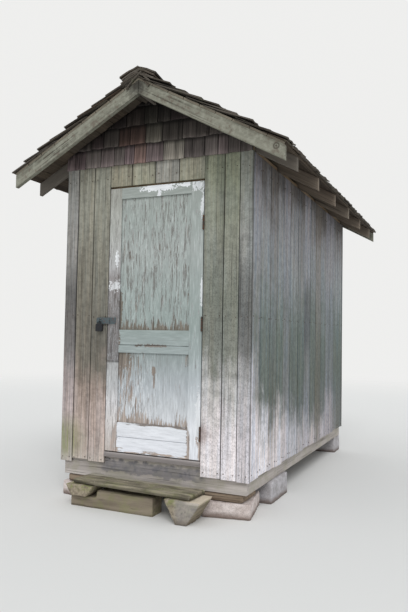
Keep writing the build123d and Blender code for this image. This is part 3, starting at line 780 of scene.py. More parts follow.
strip_tones = ((0.50, 0.46, 0.45), (0.30, 0.27, 0.26), (0.42, 0.38, 0.37))
strip_shade_levels = (0.362, 0.374)
strip_finish = Finish("threshold_timber")
strip_colour, strip_relief = wood_streaks(strip_finish, strip_tones, 80.0, 25.0, 0.4)
# Painted shade: the strip is darkened under the door, most on its lower face.
strip_shade = strip_finish.band(strip_finish.level(), *strip_shade_levels, 0.64, 0.92)
strip_colour = strip_finish.scaled(strip_colour, strip_shade)

strip = copy_of("threshold_strip", "threshold")
cut_across(strip, 0, 0.05)
let_wander(strip, 0.002, 0.15, 5)
mark_grain(strip, along_x, 15)
strip.data.materials.append(strip_finish.done(strip_colour, 0.85, strip_relief, 0.003))
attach(strip, "shed")
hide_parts("threshold")


# Wall frame: posts, studs, plates, header and stops of sawn softwood, nailed together.
# It has stayed dry inside, so it keeps a brown colour that the outside has lost.
frame_tones = ((0.46, 0.33, 0.20), (0.25, 0.165, 0.09), (0.38, 0.30, 0.21))
frame_timber = bare_wood("frame_timber", frame_tones, 0.82, 0.002, fine=80.0, broad=10.0)

for frame_name, frame_node, frame_axis, frame_along in (
    ("corner_and_door_posts", "posts", 2, along_z),
    ("studs", "wall_studs", 2, along_z),
    ("plates_along", "side_plates", 1, along_y),
    ("plates_across", "end_plates", 0, along_x),
    ("header", "door_header", 0, along_x),
):
    timber = old_timber(
        frame_name, frame_node, frame_along, arris=0.002, axis=frame_axis, spacing=0.3,
        depth=0.0015, length=0.4, seed=6, grain_seed=16,
    )
    timber.data.materials.append(frame_timber)
    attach(timber, "shed")
    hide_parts(frame_node)

head_stop_level = 2.3
stops = copy_of("stops", "door_stops")
ease(stops, 0.0015)
shade(stops)
mark_grain(stops, lambda middle: (1, 0, 0) if middle.z > head_stop_level else (0, 0, 1), 17)
stops.data.materials.append(frame_timber)
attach(stops, "shed")
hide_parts("door_stops")


# Siding: rough-sawn boards of uneven width nailed upright to the frame, their feet cut
# by eye. Rain and light have turned them grey: olive on the front, bluer on the sides,
# bleached pale and speckled towards the ground, with algae and dark joints.
joint_tone = (0.045, 0.038, 0.032)
lavender_tone = (0.30, 0.29, 0.34)
tan_tone = (0.33, 0.27, 0.20)
algae_tone = (0.10, 0.135, 0.09)
stain_tone = (0.22, 0.10, 0.06)
moss_green = (0.22, 0.25, 0.10)


def siding_tone(finish, heights, pale):
    """The siding's tone from the ground up, by a ragged height. Where pale is given, it is
    the tone of the bleached foot from the front to the rear, where the foot reaches less high."""
    drift = finish.noise(finish.grain(), 14.0, 1.2, 4.0, 0.55, 31.0)
    clouds = finish.mottle(0.30, 8.0, 0.68, 41.0)
    uneven = finish.weighed(drift, 0.40, finish.weighed(clouds, 0.90, -0.65))
    uneven = finish.plus(finish.level(), uneven)
    if pale is None:
        return finish.levels(uneven, *heights)
    uneven = finish.plus(uneven, finish.weighed(finish.board(), -0.24, 0.12))
    depth = finish.depth()
    reach = finish.minus(
        finish.band(depth, -1.5, -1.3, 1.30, 0.98), finish.band(depth, -1.3, -0.2, 0.0, 0.27)
    )
    share = finish.band(finish.math("DIVIDE", uneven, reach), 1.0, 0.40)
    return finish.mix(share, finish.levels(uneven, *heights), finish.levels(depth, *pale))


def siding_streaks(finish, fine, speckle, spread):
    """How much lighter or darker streaks, stains and boards are than the siding's tone. The
    darkest is the board at the front corner, halfway up."""
    level = finish.level()
    board = finish.board()
    broad = finish.noise(finish.grain(), 17.0, 0.6, 3.0, 0.5)
    swing = 0.24 - 0.18 * speckle
    stains = finish.mottle(0.035, 6.0, 0.7, 81.0)
    corner = finish.times(
        finish.band(level, 0.95, 1.30),
        finish.band(level, 1.90, 1.60, 0.0, 0.35),
        finish.band(board, 0.90, 0.94),
    )
    return finish.times(
        finish.band(broad, 0.32, 0.68, 0.90, 1.10),
        finish.band(fine, 0.32, 0.68, 1.0 - swing, 1.0 + swing),
        finish.band(stains, 0.34, 0.60, 0.80, 1.06),
        finish.band(board, 0.0, 1.0, 1.0 - spread, 1.0 + spread),
        finish.minus(1.0, corner),
    )


def algae_over(finish, colour, fine, strength, fades_back):
    """Lets algae grow in runs halfway up the siding, on some walls less towards the rear."""
    level = finish.level()
    runs = finish.noise(finish.grain(), 13.0, 0.9, 5.0, 0.6, 51.0)
    growth = finish.weighed(runs, 0.32, finish.times(fine, 0.20))
    growth = finish.weighed(finish.mottle(0.26, 8.0, 0.7, 51.0), 0.48, growth)
    share = finish.times(
        finish.band(level, 0.5, 0.9), finish.band(level, 2.1, 1.5, 0.0, strength)
    )
    if fades_back:
        share = finish.times(share, finish.band(finish.depth(), 1.3, 0.1, 0.3, 1.0))
    return finish.mix(finish.times(share, finish.band(growth, 0.48, 0.62)), colour, algae_tone)


def speckle_over(finish, colour, speckle):
    """Speckles the siding light and dark, less under the eaves."""
    specks = finish.noise(finish.grain(), 125.0, 80.0, 2.0, 0.6, 61.0)
    window = finish.band(finish.level(), 2.3, 1.7, 0.4 * speckle, speckle)
    light = finish.times(window, finish.band(specks, 0.52, 0.64, 0.0, 0.7))
    dark = finish.times(window, finish.band(specks, 0.47, 0.37, 0.0, 0.8))
    colour = finish.mix(light, colour, finish.scaled(colour, 1.18))
    return finish.mix(dark, colour, finish.scaled(colour, 0.66))


def siding_finish(name, heights, pale=None, algae=0.0, speckle=0.0, stain=None, moss=None):
    """Weathered siding. stain and moss are the places of a rust stain and a patch of moss."""
    finish = Finish(name)
    grain = finish.grain()
    board = finish.board()
    spread, cast, edge_tone = (0.07, 0.02, 0.48) if pale is None else (0.13, 0.055, 0.74)
    colour = siding_tone(finish, heights, pale)
    colour = finish.mix(finish.band(board, 0.68, 0.85, 0.0, 0.30), colour, lavender_tone)
    colour = finish.mix(finish.band(board, 0.32, 0.15, 0.0, 0.25), colour, tan_tone)
    fine = finish.noise(grain, 100.0, 2.6, 5.0, 0.62, 5.0)
    colour = finish.scaled(colour, siding_streaks(finish, fine, speckle, spread))
    colour = finish.mix(
        finish.band(finish.noise(grain, 45.0, 1.6, 3.0, 0.6, 91.0), 0.40, 0.60),
        finish.tinted(colour, (1.0 - cast, 1.0, 1.0 + cast)),
        finish.tinted(colour, (1.0 + cast, 1.0, 1.0 - cast)),
    )
    if algae:
        colour = algae_over(finish, colour, fine, algae, pale is not None)
    if speckle:
        colour = speckle_over(finish, colour, speckle)
    if moss is not None:
        share = finish.band(finish.reach(moss), 0.24, 0.05)
        share = finish.times(share, finish.band(fine, 0.40, 0.60, 0.3, 0.8))
        colour = finish.mix(share, colour, moss_green)
    if stain is not None:
        share = finish.band(finish.reach(stain), 0.10, 0.02, 0.0, 0.35)
        colour = finish.mix(share, colour, stain_tone)
    cracks = finish.band(finish.noise(grain, 120.0, 1.1, 3.0, 0.5, 11.0), 0.61, 0.68)
    colour = finish.mix(finish.times(cracks, 0.5), colour, joint_tone)
    colour = finish.scaled(colour, finish.band(finish.rim(), 0.0, 0.07, edge_tone, 1.0))
    return finish.done(colour, 0.92, finish.weighed(cracks, -0.8, fine), 0.004)


siding_arris = 0.0028
siding_spacing = 0.16
siding_set_back = 0.003


def upright_boards(name, joints, axis, low, high, feet, gaps, seed):
    """Siding boards side by side between joints, each with its own foot and thickness."""
    chance = random.Random(seed)
    boards = []
    last_board = len(joints) - 2
    for number, (start, end) in enumerate(zip(joints, joints[1:])):
        bottom = low[2] + feet[number % len(feet)]
        face = chance.uniform(0.0, siding_set_back)
        near = [low[0] + face, low[1] + face, bottom]
        far = [high[0] - face, high[1] - face, high[2]]
        near[axis] = start + (gaps[number % len(gaps)] / 2 if number else 0.0)
        far[axis] = end - (gaps[(number + 1) % len(gaps)] / 2 if number < last_board else 0.0)
        boards.append((near, far))
    return board_stock(name, boards, 2, siding_arris, siding_spacing, seed)


def nail_up(boards, node, material, seed, tone_at=None):
    """Finishes siding boards: they wander, take their grain and material, join the shed, and their
    solid is hidden.
    """
    let_wander(boards, 0.002, 0.3, seed)
    mark_grain(boards, along_z, seed, tone_at)
    boards.data.materials.append(material)
    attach(boards, "shed")
    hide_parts(node)


def nearest_tone(tones):
    """Picks the tone that is listed for the board nearest to a place."""
    return lambda middle: tones[min(tones, key=lambda x: abs(x - middle.x))]


def running_joints(start, widths, end):
    """Joints one board's width after another from start, the last one at end."""
    joints = [start]
    for width in widths[:-1]:
        joints.append(joints[-1] + width)
    joints.append(end)
    return joints


left_low, left_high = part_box("front_wall_left")
right_low, right_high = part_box("front_wall_right")
over_low, over_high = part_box("front_wall_over_door")
side_low, side_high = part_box("right_wall")
far_low, far_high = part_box("left_wall")
rear_low, rear_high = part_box("rear_wall")

front_gaps = (0.004, 0.005, 0.003)
side_gaps = (
    0.003, 0.006, 0.004, 0.003, 0.008, 0.003, 0.007, 0.004,
    0.004, 0.009, 0.003, 0.004, 0.004, 0.006, 0.005,
)
left_joints = (left_low.x, -0.690, -0.540, left_high.x)
over_joints = (over_low.x, -0.198, 0.009, 0.211, over_high.x)
right_joints = (right_low.x, 0.580, 0.700, right_high.x)
side_widths = (
    0.171, 0.227, 0.177, 0.176, 0.191, 0.244, 0.211, 0.222,
    0.197, 0.225, 0.199, 0.190, 0.193, 0.219, 0.172,
)
rear_widths = (0.108, 0.165, 0.148, 0.172, 0.156, 0.139, 0.161, 0.150, 0.144, 0.137)
left_feet = (0.010, 0.037, 0.027)
right_feet = (0.008, 0.005, 0.0)
side_feet = (0.004, 0.012, 0.007, 0.001, 0.010, 0.006)

left_heights = (
    (0.30, (0.62, 0.55, 0.50)),
    (0.60, (0.55, 0.45, 0.41)),
    (0.85, (0.37, 0.30, 0.265)),
    (1.15, (0.195, 0.18, 0.152)),
    (1.45, (0.195, 0.185, 0.155)),
    (2.10, (0.285, 0.28, 0.235)),
    (2.50, (0.30, 0.295, 0.24)),
)
right_heights = (
    (0.30, (0.86, 0.81, 0.83)),
    (0.60, (0.79, 0.745, 0.765)),
    (0.90, (0.53, 0.52, 0.51)),
    (1.12, (0.235, 0.242, 0.212)),
    (1.55, (0.205, 0.215, 0.18)),
    (1.90, (0.27, 0.28, 0.24)),
    (2.50, (0.27, 0.285, 0.21)),
)
over_heights = ((2.30, (0.29, 0.285, 0.215)), (2.60, (0.33, 0.32, 0.25)))
# Tones of the side walls by height. The darkening towards the eaves is partly sheltered wood and
# partly painted shade from the eaves.
side_heights_and_eave_shade = (
    (0.60, (0.17, 0.19, 0.185)),
    (0.95, (0.15, 0.175, 0.16)),
    (1.35, (0.18, 0.21, 0.20)),
    (1.80, (0.29, 0.31, 0.32)),
    (2.10, (0.32, 0.325, 0.335)),
    (2.32, (0.27, 0.265, 0.27)),
    (2.50, (0.15, 0.14, 0.135)),
)
side_pale = (
    (-1.50, (0.98, 0.95, 1.0)),
    (-1.00, (0.83, 0.79, 0.83)),
    (-0.50, (0.54, 0.53, 0.56)),
    (0.35, (0.58, 0.53, 0.54)),
    (0.80, (0.50, 0.46, 0.48)),
    (1.30, (0.19, 0.20, 0.19)),
)
far_pale = ((-1.50, (0.55, 0.50, 0.48)), (1.50, (0.25, 0.25, 0.24)))
rear_heights = (
    (0.30, (0.36, 0.34, 0.33)),
    (0.80, (0.20, 0.215, 0.20)),
    (1.60, (0.20, 0.23, 0.235)),
    (2.50, (0.26, 0.275, 0.29)),
)
left_tones = {-0.74: 0.95, -0.615: 0.25, -0.465: 0.5}
right_tones = {0.50: 0.45, 0.64: 0.5, 0.75: 1.0}
lower_hinge_stain = (0.435, -1.559, 0.57)
corner_moss = (-0.76, -1.559, 0.45)
roof_pitch = math.radians(28.5)
siding_top_drop = (side_high.x - side_low.x) * math.tan(roof_pitch)

for front_name, front_node, joints, low, high, feet, material, seed, tones in (
    (
        "front_boards_left", "front_wall_left", left_joints, left_low, left_high, left_feet,
        siding_finish("siding_front_left", left_heights, moss=corner_moss),
        21, nearest_tone(left_tones),
    ),
    (
        "front_boards_right", "front_wall_right", right_joints, right_low, right_high, right_feet,
        siding_finish("siding_front_right", right_heights, speckle=0.8, stain=lower_hinge_stain),
        22, nearest_tone(right_tones),
    ),
    (
        "boards_over_door", "front_wall_over_door", over_joints, over_low, over_high, (0.0,),
        siding_finish("siding_over_door", over_heights),
        23, None,
    ),
):
    boards = upright_boards(front_name, joints, 0, low, high, feet, front_gaps, seed)
    nail_up(boards, front_node, material, seed, tones)

rear_joints = running_joints(rear_low.x, rear_widths, rear_high.x)
nail_up(
    upright_boards("rear_boards", rear_joints, 0, rear_low, rear_high, side_feet, side_gaps, 24),
    "rear_wall",
    siding_finish("siding_rear", rear_heights, algae=0.7, speckle=0.4),
    24,
)

right_wall_joints = running_joints(side_low.y, side_widths, side_high.y)
left_wall_joints = running_joints(far_low.y, side_widths[::-1], far_high.y)
for side_name, side_node, side, joints, low, high, gaps, material, seed in (
    (
        "right_boards", "right_wall", 1, right_wall_joints, side_low, side_high, side_gaps,
        siding_finish("siding_side", side_heights_and_eave_shade, side_pale, algae=0.40, speckle=0.4),
        25,
    ),
    (
        "left_boards", "left_wall", -1, left_wall_joints, far_low, far_high, side_gaps[::-1],
        siding_finish("siding_far_side", side_heights_and_eave_shade, far_pale, algae=0.8, speckle=0.4),
        26,
    ),
):
    boards = upright_boards(side_name, joints, 1, low, high, side_feet, gaps, seed)
    outer_face = side * max(abs(low.x), abs(high.x))
    bpy.ops.object.mode_set(mode="EDIT")
    bpy.ops.mesh.select_all(action="SELECT")
    bpy.ops.mesh.bisect(
        plane_co=(outer_face, 0, high.z - siding_top_drop),
        plane_no=(side * math.sin(roof_pitch), 0, math.cos(roof_pitch)),
        use_fill=True,
        clear_outer=True,
    )
    bpy.ops.object.mode_set(mode="OBJECT")
    nail_up(boards, side_node, material, seed)


# Siding nails: plain wire nails, two through each board at the sill, half-way up and at
# the plate. Their heads are round and flat, driven home, and brown with rust.
nail_levels = (0.310, 1.420, 2.500)
nail_sides = 8
nail_radius = 0.0038
nail_length = 0.006
nail_proud = 0.0012
nail_inset = 0.024
nail_astray = (0.005, 0.008)
nail_rust = (0.13, 0.095, 0.075)
nail_pit = (0.060, 0.045, 0.036)

nail_finish = Finish("nail_rust")
pitting = nail_finish.mottle(0.003, 3.0, 0.6)
nail_colour = nail_finish.mix(nail_finish.band(pitting, 0.40, 0.60), nail_rust, nail_pit)

bpy.ops.object.select_all(action="DESELECT")
bpy.ops.mesh.primitive_cylinder_add(vertices=nail_sides, radius=nail_radius, depth=nail_length)
one_nail = bpy.context.object
bpy.ops.object.select_all(action="DESELECT")
chance = random.Random(28)
for facing, face, joints, levels in (
    ((0, -1, 0), -left_low.y, left_joints, nail_levels),
    ((0, -1, 0), -left_low.y, over_joints, nail_levels[2:]),
    ((0, -1, 0), -left_low.y, right_joints, nail_levels),
    ((0, 1, 0), rear_high.y, rear_joints, nail_levels),
    ((1, 0, 0), side_high.x, right_wall_joints, nail_levels),
    ((-1, 0, 0), -far_low.x, left_wall_joints, nail_levels),
):
    outward = Vector(facing)
    along_wall = Vector((abs(facing[1]), abs(facing[0]), 0))
    turn = outward.to_track_quat("Z", "Y").to_matrix().to_4x4()
    spots = [
        (inset, level)
        for start, end in zip(joints, joints[1:])
        for inset in (start + nail_inset, end - nail_inset)
        for level in levels
    ]
    for inset, level in spots:
        inset += chance.uniform(-nail_astray[0], nail_astray[0])
        level += chance.uniform(-nail_astray[1], nail_astray[1])
        head = outward * (face + nail_proud) + along_wall * inset + Vector((0, 0, level))
        nail = bpy.data.objects.new("nail", one_nail.data.copy())
        nail.data.transform(Matrix.Translation(head - outward * nail_length / 2) @ turn)
        scene.collection.objects.link(nail)
        nail.select_set(True)
        bpy.context.view_layer.objects.active = nail
bpy.ops.object.join()
nails = bpy.context.object
nails.name = "siding_nails"
bpy.data.objects.remove(one_nail)
nails.data.materials.append(nail_finish.done(nail_colour, 0.8, pitting, 0.0005))
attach(nails, "shed")


# Gables: a boarded panel at each end, covered with split shingles whose butts hang a
# little proud of the wall below. Sheltered by the roof, they have stayed dark and red,
# and painted shade darkens them upwards and just below each butt.
gable_tones = ((0.30, 0.22, 0.14), (0.15, 0.10, 0.06), (0.25, 0.20, 0.14))
gable_timber = bare_wood("gable_boards", gable_tones, 0.85, 0.002)
for gable_name, gable_node in (
    ("front_gable_boards", "front_gable"),
    ("rear_gable_boards", "rear_gable"),
):
    gable = copy_of(gable_name, gable_node)
    ease(gable, 0.001)
    shade(gable)
    mark_grain(gable, along_z, 27)
    gable.data.materials.append(gable_timber)
    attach(gable, "shed")
    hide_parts(gable_node)

shingle_columns = 4
shingle_rows = 6
shingle_uneven = 0.0008
shingle_ragged = 0.007
near_edge = 0.01


def lift(blank, test, height, reach):
    """Lifts the vertices that pass a test, and draws those within reach along with them."""
    select_vertices(blank, test)
    bpy.ops.transform.translate(
        value=(0, 0, height),
        use_proportional_edit=True,
        proportional_edit_falloff="SMOOTH",
        proportional_size=reach,
    )
    bpy.ops.object.mode_set(mode="OBJECT")


def shingle_blank(name, length, butt, tip, cup, curl, seed):
    """A split shingle one metre wide: thick at the butt, thin at the tip, cupped and curled.
    Its upper face is at z = 0, its butt at y = 0, and its tip up the y axis."""
    bpy.ops.object.select_all(action="DESELECT")
    bpy.ops.mesh.primitive_cube_add(
        size=1, location=(0, length / 2, -butt / 2), scale=(1, length, butt)
    )
    blank = bpy.context.object
    blank.name = name
    bpy.ops.object.transform_apply(location=True, rotation=True, scale=True)
    select_vertices(blank, lambda place: place.y > length / 2 and place.z < -butt / 2)
    bpy.ops.transform.translate(value=(0, 0, butt - tip))
    for axis, count in ((0, shingle_columns), (1, shingle_rows)):
        select_edges(
            blank, lambda start, end: abs(start[axis] - end[axis]) > 0.9 * (start - end).length
        )
        bpy.ops.mesh.subdivide(number_cuts=count - 1)
    bpy.ops.object.mode_set(mode="OBJECT")
    lift(blank, lambda place: abs(place.x) > 0.5 - near_edge, cup, 0.5)
    lift(blank, lambda place: place.y < near_edge, curl, length * 0.6)
    bpy.ops.object.mode_set(mode="EDIT")
    bpy.ops.mesh.select_all(action="SELECT")
    bpy.ops.transform.vertex_random(offset=shingle_uneven, seed=seed)
    bpy.ops.object.mode_set(mode="OBJECT")
    chance = random.Random(seed)
    for column in range(shingle_columns + 1):
        line = column / shingle_columns - 0.5
        select_vertices(blank, lambda place: place.y < near_edge and abs(place.x - line) < 0.05)
        bpy.ops.transform.translate(value=(0, chance.uniform(0.0, shingle_ragged), 0))
        bpy.ops.object.mode_set(mode="OBJECT")
    return blank


def lay_shingles(name, blanks, places):
    """Copies shingles to their places, each with its own mesh and grain, as one piece."""
    bpy.ops.object.select_all(action="DESELECT")
    for blank, matrix, width, tone, shift in places:
        mesh = blanks[blank].data.copy()
        across = [vertex.co.x + 0.5 for vertex in mesh.vertices]
        mesh.transform(Matrix.Diagonal((width, 1, 1, 1)))
        grain = [(point.co.x + shift, point.co.y, point.co.z + shift) for point in mesh.vertices]
        store_grain(mesh, grain, [tone] * len(grain), across)
        mesh.transform(matrix)
        shingle = bpy.data.objects.new(name, mesh)
        scene.collection.objects.link(shingle)
        shingle.select_set(True)
        bpy.context.view_layer.objects.active = shingle
    bpy.ops.object.join()
    piece = bpy.context.object
    piece.name = name
    bpy.ops.object.shade_smooth_by_angle(angle=crease_angle)
    return piece


def shingle_row(start, end, joints, chance, narrow, wide):
    """Joints of a row of shingles from start to end: given ones, then random widths."""
    row = [start]
    if joints:
        before = []
        back = joints[0]
        while back - start > wide:
            back -= chance.uniform(narrow, wide)
            before.append(back)
        row += before[::-1]
        row += joints
    while end - row[-1] > wide:
        row.append(row[-1] + chance.uniform(narrow, wide))
    row.append(end)
    return row


def trim(piece, *planes):
    """Cuts a piece off beyond planes, each given by a point and an outward direction."""
    take_up(piece)
    bpy.ops.object.mode_set(mode="EDIT")
    for point, outward in planes:
        bpy.ops.mesh.select_all(action="SELECT")
        bpy.ops.mesh.bisect(plane_co=point, plane_no=outward, clear_outer=True)
        bpy.ops.mesh.select_all(action="DESELECT")
        bpy.ops.mesh.select_non_manifold(
            use_wire=False, use_multi_face=False, use_non_contiguous=False, use_verts=False
        )
        bpy.ops.mesh.fill_holes(sides=0)
    bpy.ops.object.mode_set(mode="OBJECT")


gable_exposure = 0.148
gable_shingle_length = 0.25
gable_shingle_butt = 0.013
gable_shingle_tip = 0.004
gable_shingle_widths = (0.085, 0.175)
gable_lean = math.radians(2.6)
gable_rise = 0.006
gable_first_rise = 0.003
rake_gap = 0.001
gable_row_joints = (
    (-0.173, -0.068, 0.082, 0.259, 0.423, 0.530, 0.612),
    (-0.211, -0.075, 0.071, 0.241, 0.459),
    (-0.087, 0.030),
)
gable_row_tones = (
    ((-0.25, 0.55), (-0.12, 0.80), (0.007, 0.50), (0.17, 0.05), (0.34, 0.30), (0.47, 0.45)),
    ((-0.28, 0.90), (-0.14, 0.85), (0.0, 0.10), (0.15, 0.25), (0.35, 0.40)),
    ((-0.20, 0.70), (-0.03, 0.15)),
)
gable_heights_and_shade = (
    (2.60, (0.150, 0.128, 0.120)),
    (2.73, (0.105, 0.090, 0.083)),
    (2.76, (0.066, 0.056, 0.050)),
    (2.90, (0.030, 0.026, 0.023)),
    (3.05, (0.015, 0.013, 0.012)),
)
red_cast = (1.22, 0.86, 0.78)
green_cast = (1.30, 1.38, 1.26)
mauve_cast = (1.10, 0.97, 1.06)
shingle_split = (0.015, 0.012, 0.010)
gable_curls = ((0.0008, 0.001), (-0.0006, 0.002), (0.0012, 0.0015), (0.0, 0.0005))


def gable_shingle_finish():
    """Dark sheltered shingles with painted shade: nearly black up high, greyer and mauve on the
    lowest course, with a painted shadow under each butt.
    """
    finish = Finish("gable_shingles")
    grain = finish.grain()
    board = finish.board()
    # Tones by height: partly sheltered wood, partly painted shade from the roof's overhang, darkest
    # at the apex.
    base = finish.levels(finish.level(), *gable_heights_and_shade)
    red = finish.band(board, 0.62, 0.85, 0.0, 0.8)
    base = finish.mix(red, base, finish.tinted(base, red_cast))
    base = finish.mix(finish.band(board, 0.30, 0.08), base, finish.tinted(base, green_cast))
    mauve = finish.band(finish.math("ABSOLUTE", finish.minus(board, 0.55)), 0.1, 0.02)
    base = finish.mix(mauve, base, finish.tinted(base, mauve_cast))
    fine = finish.noise(grain, 95.0, 3.0, 5.0, 0.65)
    wide = finish.noise(grain, 30.0, 2.0, 3.0, 0.5, 7.0)
    streaks = finish.times(
        finish.band(fine, 0.30, 0.70, 0.70, 1.30),
        finish.band(wide, 0.30, 0.70, 0.75, 1.25),
        finish.band(finish.math("FRACT", finish.times(board, 37.0)), 0.0, 1.0, 0.72, 1.28),
    )
    colour = finish.scaled(base, streaks)
    run = finish.axis(grain, "Y")
    butt = finish.band(run, 0.05, 0.0, 0.0, 0.35)
    colour = finish.mix(butt, colour, finish.scaled(colour, 1.8))
    # Painted shadow: each shingle darkens just below the butt of the one above.
    butt_shadow = finish.band(run, gable_exposure - 0.035, gable_exposure, 1.0, 0.35)
    colour = finish.scaled(colour, butt_shadow)
    cracks = finish.band(finish.noise(grain, 130.0, 2.0, 2.0, 0.5, 11.0), 0.59, 0.66)
    colour = finish.mix(finish.times(cracks, 0.7), colour, shingle_split)
    colour = finish.scaled(colour, finish.band(finish.rim(), 0.0, 0.08, 0.35, 1.0))
    return finish.done(colour, 0.9, finish.minus(fine, cracks), 0.003)


gable_shingle_wood = gable_shingle_finish()
gable_blanks = [
    shingle_blank(
        f"gable_blank_{number}",
        gable_shingle_length,
        gable_shingle_butt,
        gable_shingle_tip,
        cup,
        curl,
        number,
    )
    for number, (cup, curl) in enumerate(gable_curls)
]
for end_name, end_node, facing, seed in (
    ("front_gable_shingling", "front_gable_shingles", -1, 31),
    ("rear_gable_shingling", "rear_gable_shingles", 1, 32),
):
    gable_low, gable_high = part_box(end_node)
    wall_face = gable_high.y if facing < 0 else gable_low.y
    proud = gable_high.y - gable_low.y
    chance = random.Random(seed)
    places = []
    rows = int((gable_high.z - gable_low.z) / gable_exposure) + 1
    for row in range(rows):
        foot = gable_low.z + row * gable_exposure
        known = facing < 0 and row < len(gable_row_joints)
        known_joints = gable_row_joints[row] if known else ()
        known_tones = gable_row_tones[row] if known else ()
        joints = shingle_row(
            gable_low.x, gable_high.x, known_joints, chance, *gable_shingle_widths
        )
        for start, end in zip(joints, joints[1:]):
            gap = chance.uniform(0.001, 0.004)
            rise = chance.uniform(0.0, gable_rise if row else gable_first_rise)
            lean = gable_lean + chance.uniform(-0.002, 0.004)
            tone = chance.uniform(0.20, 0.62)
            for middle, listed in known_tones:
                if start < middle < end:
                    tone = listed
            face = wall_face + facing * (proud - chance.uniform(0.001, 0.003))
            matrix = (
                Matrix.Translation(((start + end) / 2, face, foot + rise))
                @ Matrix.Rotation(0 if facing < 0 else math.pi, 4, "Z")
                @ Matrix.Rotation(math.pi / 2, 4, "X")
                @ Matrix.Rotation(-lean, 4, "X")
                @ Matrix.Rotation(chance.uniform(-0.006, 0.006), 4, "Z")
            )
            blank = chance.randrange(len(gable_blanks))
            shift = chance.uniform(-grain_shift, grain_shift)
            places.append((blank, matrix, end - start - gap, tone, shift))
    shingling = lay_shingles(end_name, gable_blanks, places)
    rake_point = (0, 0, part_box("front_barges")[1].z - rake_gap)
    trim(
        shingling,
        ((gable_low.x, 0, 0), (-1, 0, 0)),
        ((gable_high.x, 0, 0), (1, 0, 0)),
        (rake_point, (-math.sin(roof_pitch), 0, math.cos(roof_pitch))),
        (rake_point, (math.sin(roof_pitch), 0, math.cos(roof_pitch))),
        ((0, gable_low.y, 0), (0, -1, 0)),
        ((0, gable_high.y, 0), (0, 1, 0)),
        ((0, 0, gable_low.z), (0, 0, -1)),
    )
    shingling.data.materials.append(gable_shingle_wood)
    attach(shingling, "shed")
    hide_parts(end_node)
for blank in gable_blanks:
    bpy.data.objects.remove(blank)


# Rafters and ridge board: sawn softwood, notched over the plates and nailed to the ridge
# board. Their tails stick out under the eaves, where the front pair has gone grey.
def down_the_slope(middle):
    """Direction of a timber that runs down the roof on its own side."""
    side = 1 if middle.x > 0 else -1
    return (side * math.cos(roof_pitch), 0, -math.sin(roof_pitch))


rafter_tones = ((0.27, 0.215, 0.165), (0.12, 0.092, 0.07), (0.22, 0.19, 0.155))
rafter_grey = (0.13, 0.12, 0.105)
front_rafters = (-1.2, -1.3)
rafter_finish = Finish("rafter_timber")
rafter_colour, rafter_relief = wood_streaks(rafter_finish, rafter_tones)
rafter_front = rafter_finish.band(rafter_finish.depth(), *front_rafters, 0.0, 0.75)
rafter_colour = rafter_finish.mix(rafter_front, rafter_colour, rafter_grey)
rafter_timber = rafter_finish.done(rafter_colour, 0.88, rafter_relief, 0.003)

rafters = old_timber(
    "rafter_pairs", "rafters", down_the_slope, arris=0.002, axis=0, spacing=0.2,
    depth=0.0015, length=0.3, seed=33, grain_seed=33,
)
rafters.data.materials.append(rafter_timber)
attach(rafters, "shed")
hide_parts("rafters")

ridge_board = old_timber(
    "ridge_timber", "ridge_board", along_y, arris=0.0015, axis=1, spacing=0.25,
    depth=0.001, length=0.3, seed=34, grain_seed=34,
)
ridge_board.data.materials.append(rafter_timber)
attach(ridge_board, "shed")
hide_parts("ridge_board")


# Barge rafters: a pair of two-by-fours at each end that meet in a plumb joint under the
# ridge. They take the weather and have gone grey-green, mottled, with a knot near the foot.
barge_tones = ((0.30, 0.30, 0.245), (0.095, 0.095, 0.072), (0.24, 0.235, 0.19))
barge_split = (0.045, 0.040, 0.032)
barge_pale = (0.34, 0.34, 0.28)
barge_brown = (0.15, 0.12, 0.095)
barge_stain = (0.035, 0.032, 0.028)
knot_tone = (0.08, 0.07, 0.055)
knot_radius = 0.018
barge_knot = (1.050, -1.827, 2.526)
barge_joint = (0.0, -1.827, 3.09)


def barge_finish():
    """Grey-green weathered barge timber with mottled lichen, one knot and a stained joint."""
    finish = Finish("barge_timber")
    colour, relief = wood_streaks(finish, barge_tones, 60.0, 22.0, 0.7, barge_split)
    lichen = finish.mottle(0.04, 6.0, 0.7, 3.0)
    colour = finish.mix(finish.band(lichen, 0.50, 0.62, 0.0, 0.55), colour, barge_pale)
    colour = finish.mix(finish.band(lichen, 0.46, 0.36, 0.0, 0.65), colour, barge_brown)
    reach = finish.reach(barge_knot)
    ring = finish.math("ABSOLUTE", finish.minus(reach, knot_radius))
    ring = finish.band(ring, 0.008, 0.003, 0.0, 0.8)
    knot = finish.math("MAXIMUM", ring, finish.band(reach, 0.010, 0.005, 0.0, 0.9))
    colour = finish.mix(knot, colour, knot_tone)
    reach = finish.weighed(lichen, 0.12, finish.reach(barge_joint))
    colour = finish.mix(finish.band(reach, 0.20, 0.06, 0.0, 0.9), colour, barge_stain)
    return finish.done(colour, 0.9, relief, 0.005)


barge_wood = barge_finish()
for barge_name, barge_node in (
    ("front_barge_pair", "front_barges"),
    ("rear_barge_pair", "rear_barges"),
):
    barges = old_timber(
        barge_name, barge_node, down_the_slope, arris=0.003, axis=0, spacing=0.06,
        depth=0.002, length=0.2, seed=35, grain_seed=35,
    )
    barges.data.materials.append(barge_wood)
    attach(barges, "shed")
    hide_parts(barge_node)


# Roof deck: thin boards nailed along the roof on the rafters, dark and stained by leaks.
# They show from below at the eaves and inside, and their ends show at the rakes.
deck_board_count = 9
deck_thickness = 0.016
deck_gap = 0.004
deck_arris = 0.0015
deck_ridge_gap = 0.0003
deck_tones = ((0.10, 0.078, 0.056), (0.038, 0.028, 0.020), (0.085, 0.072, 0.056))
deck_end_tone = (0.26, 0.23, 0.18)

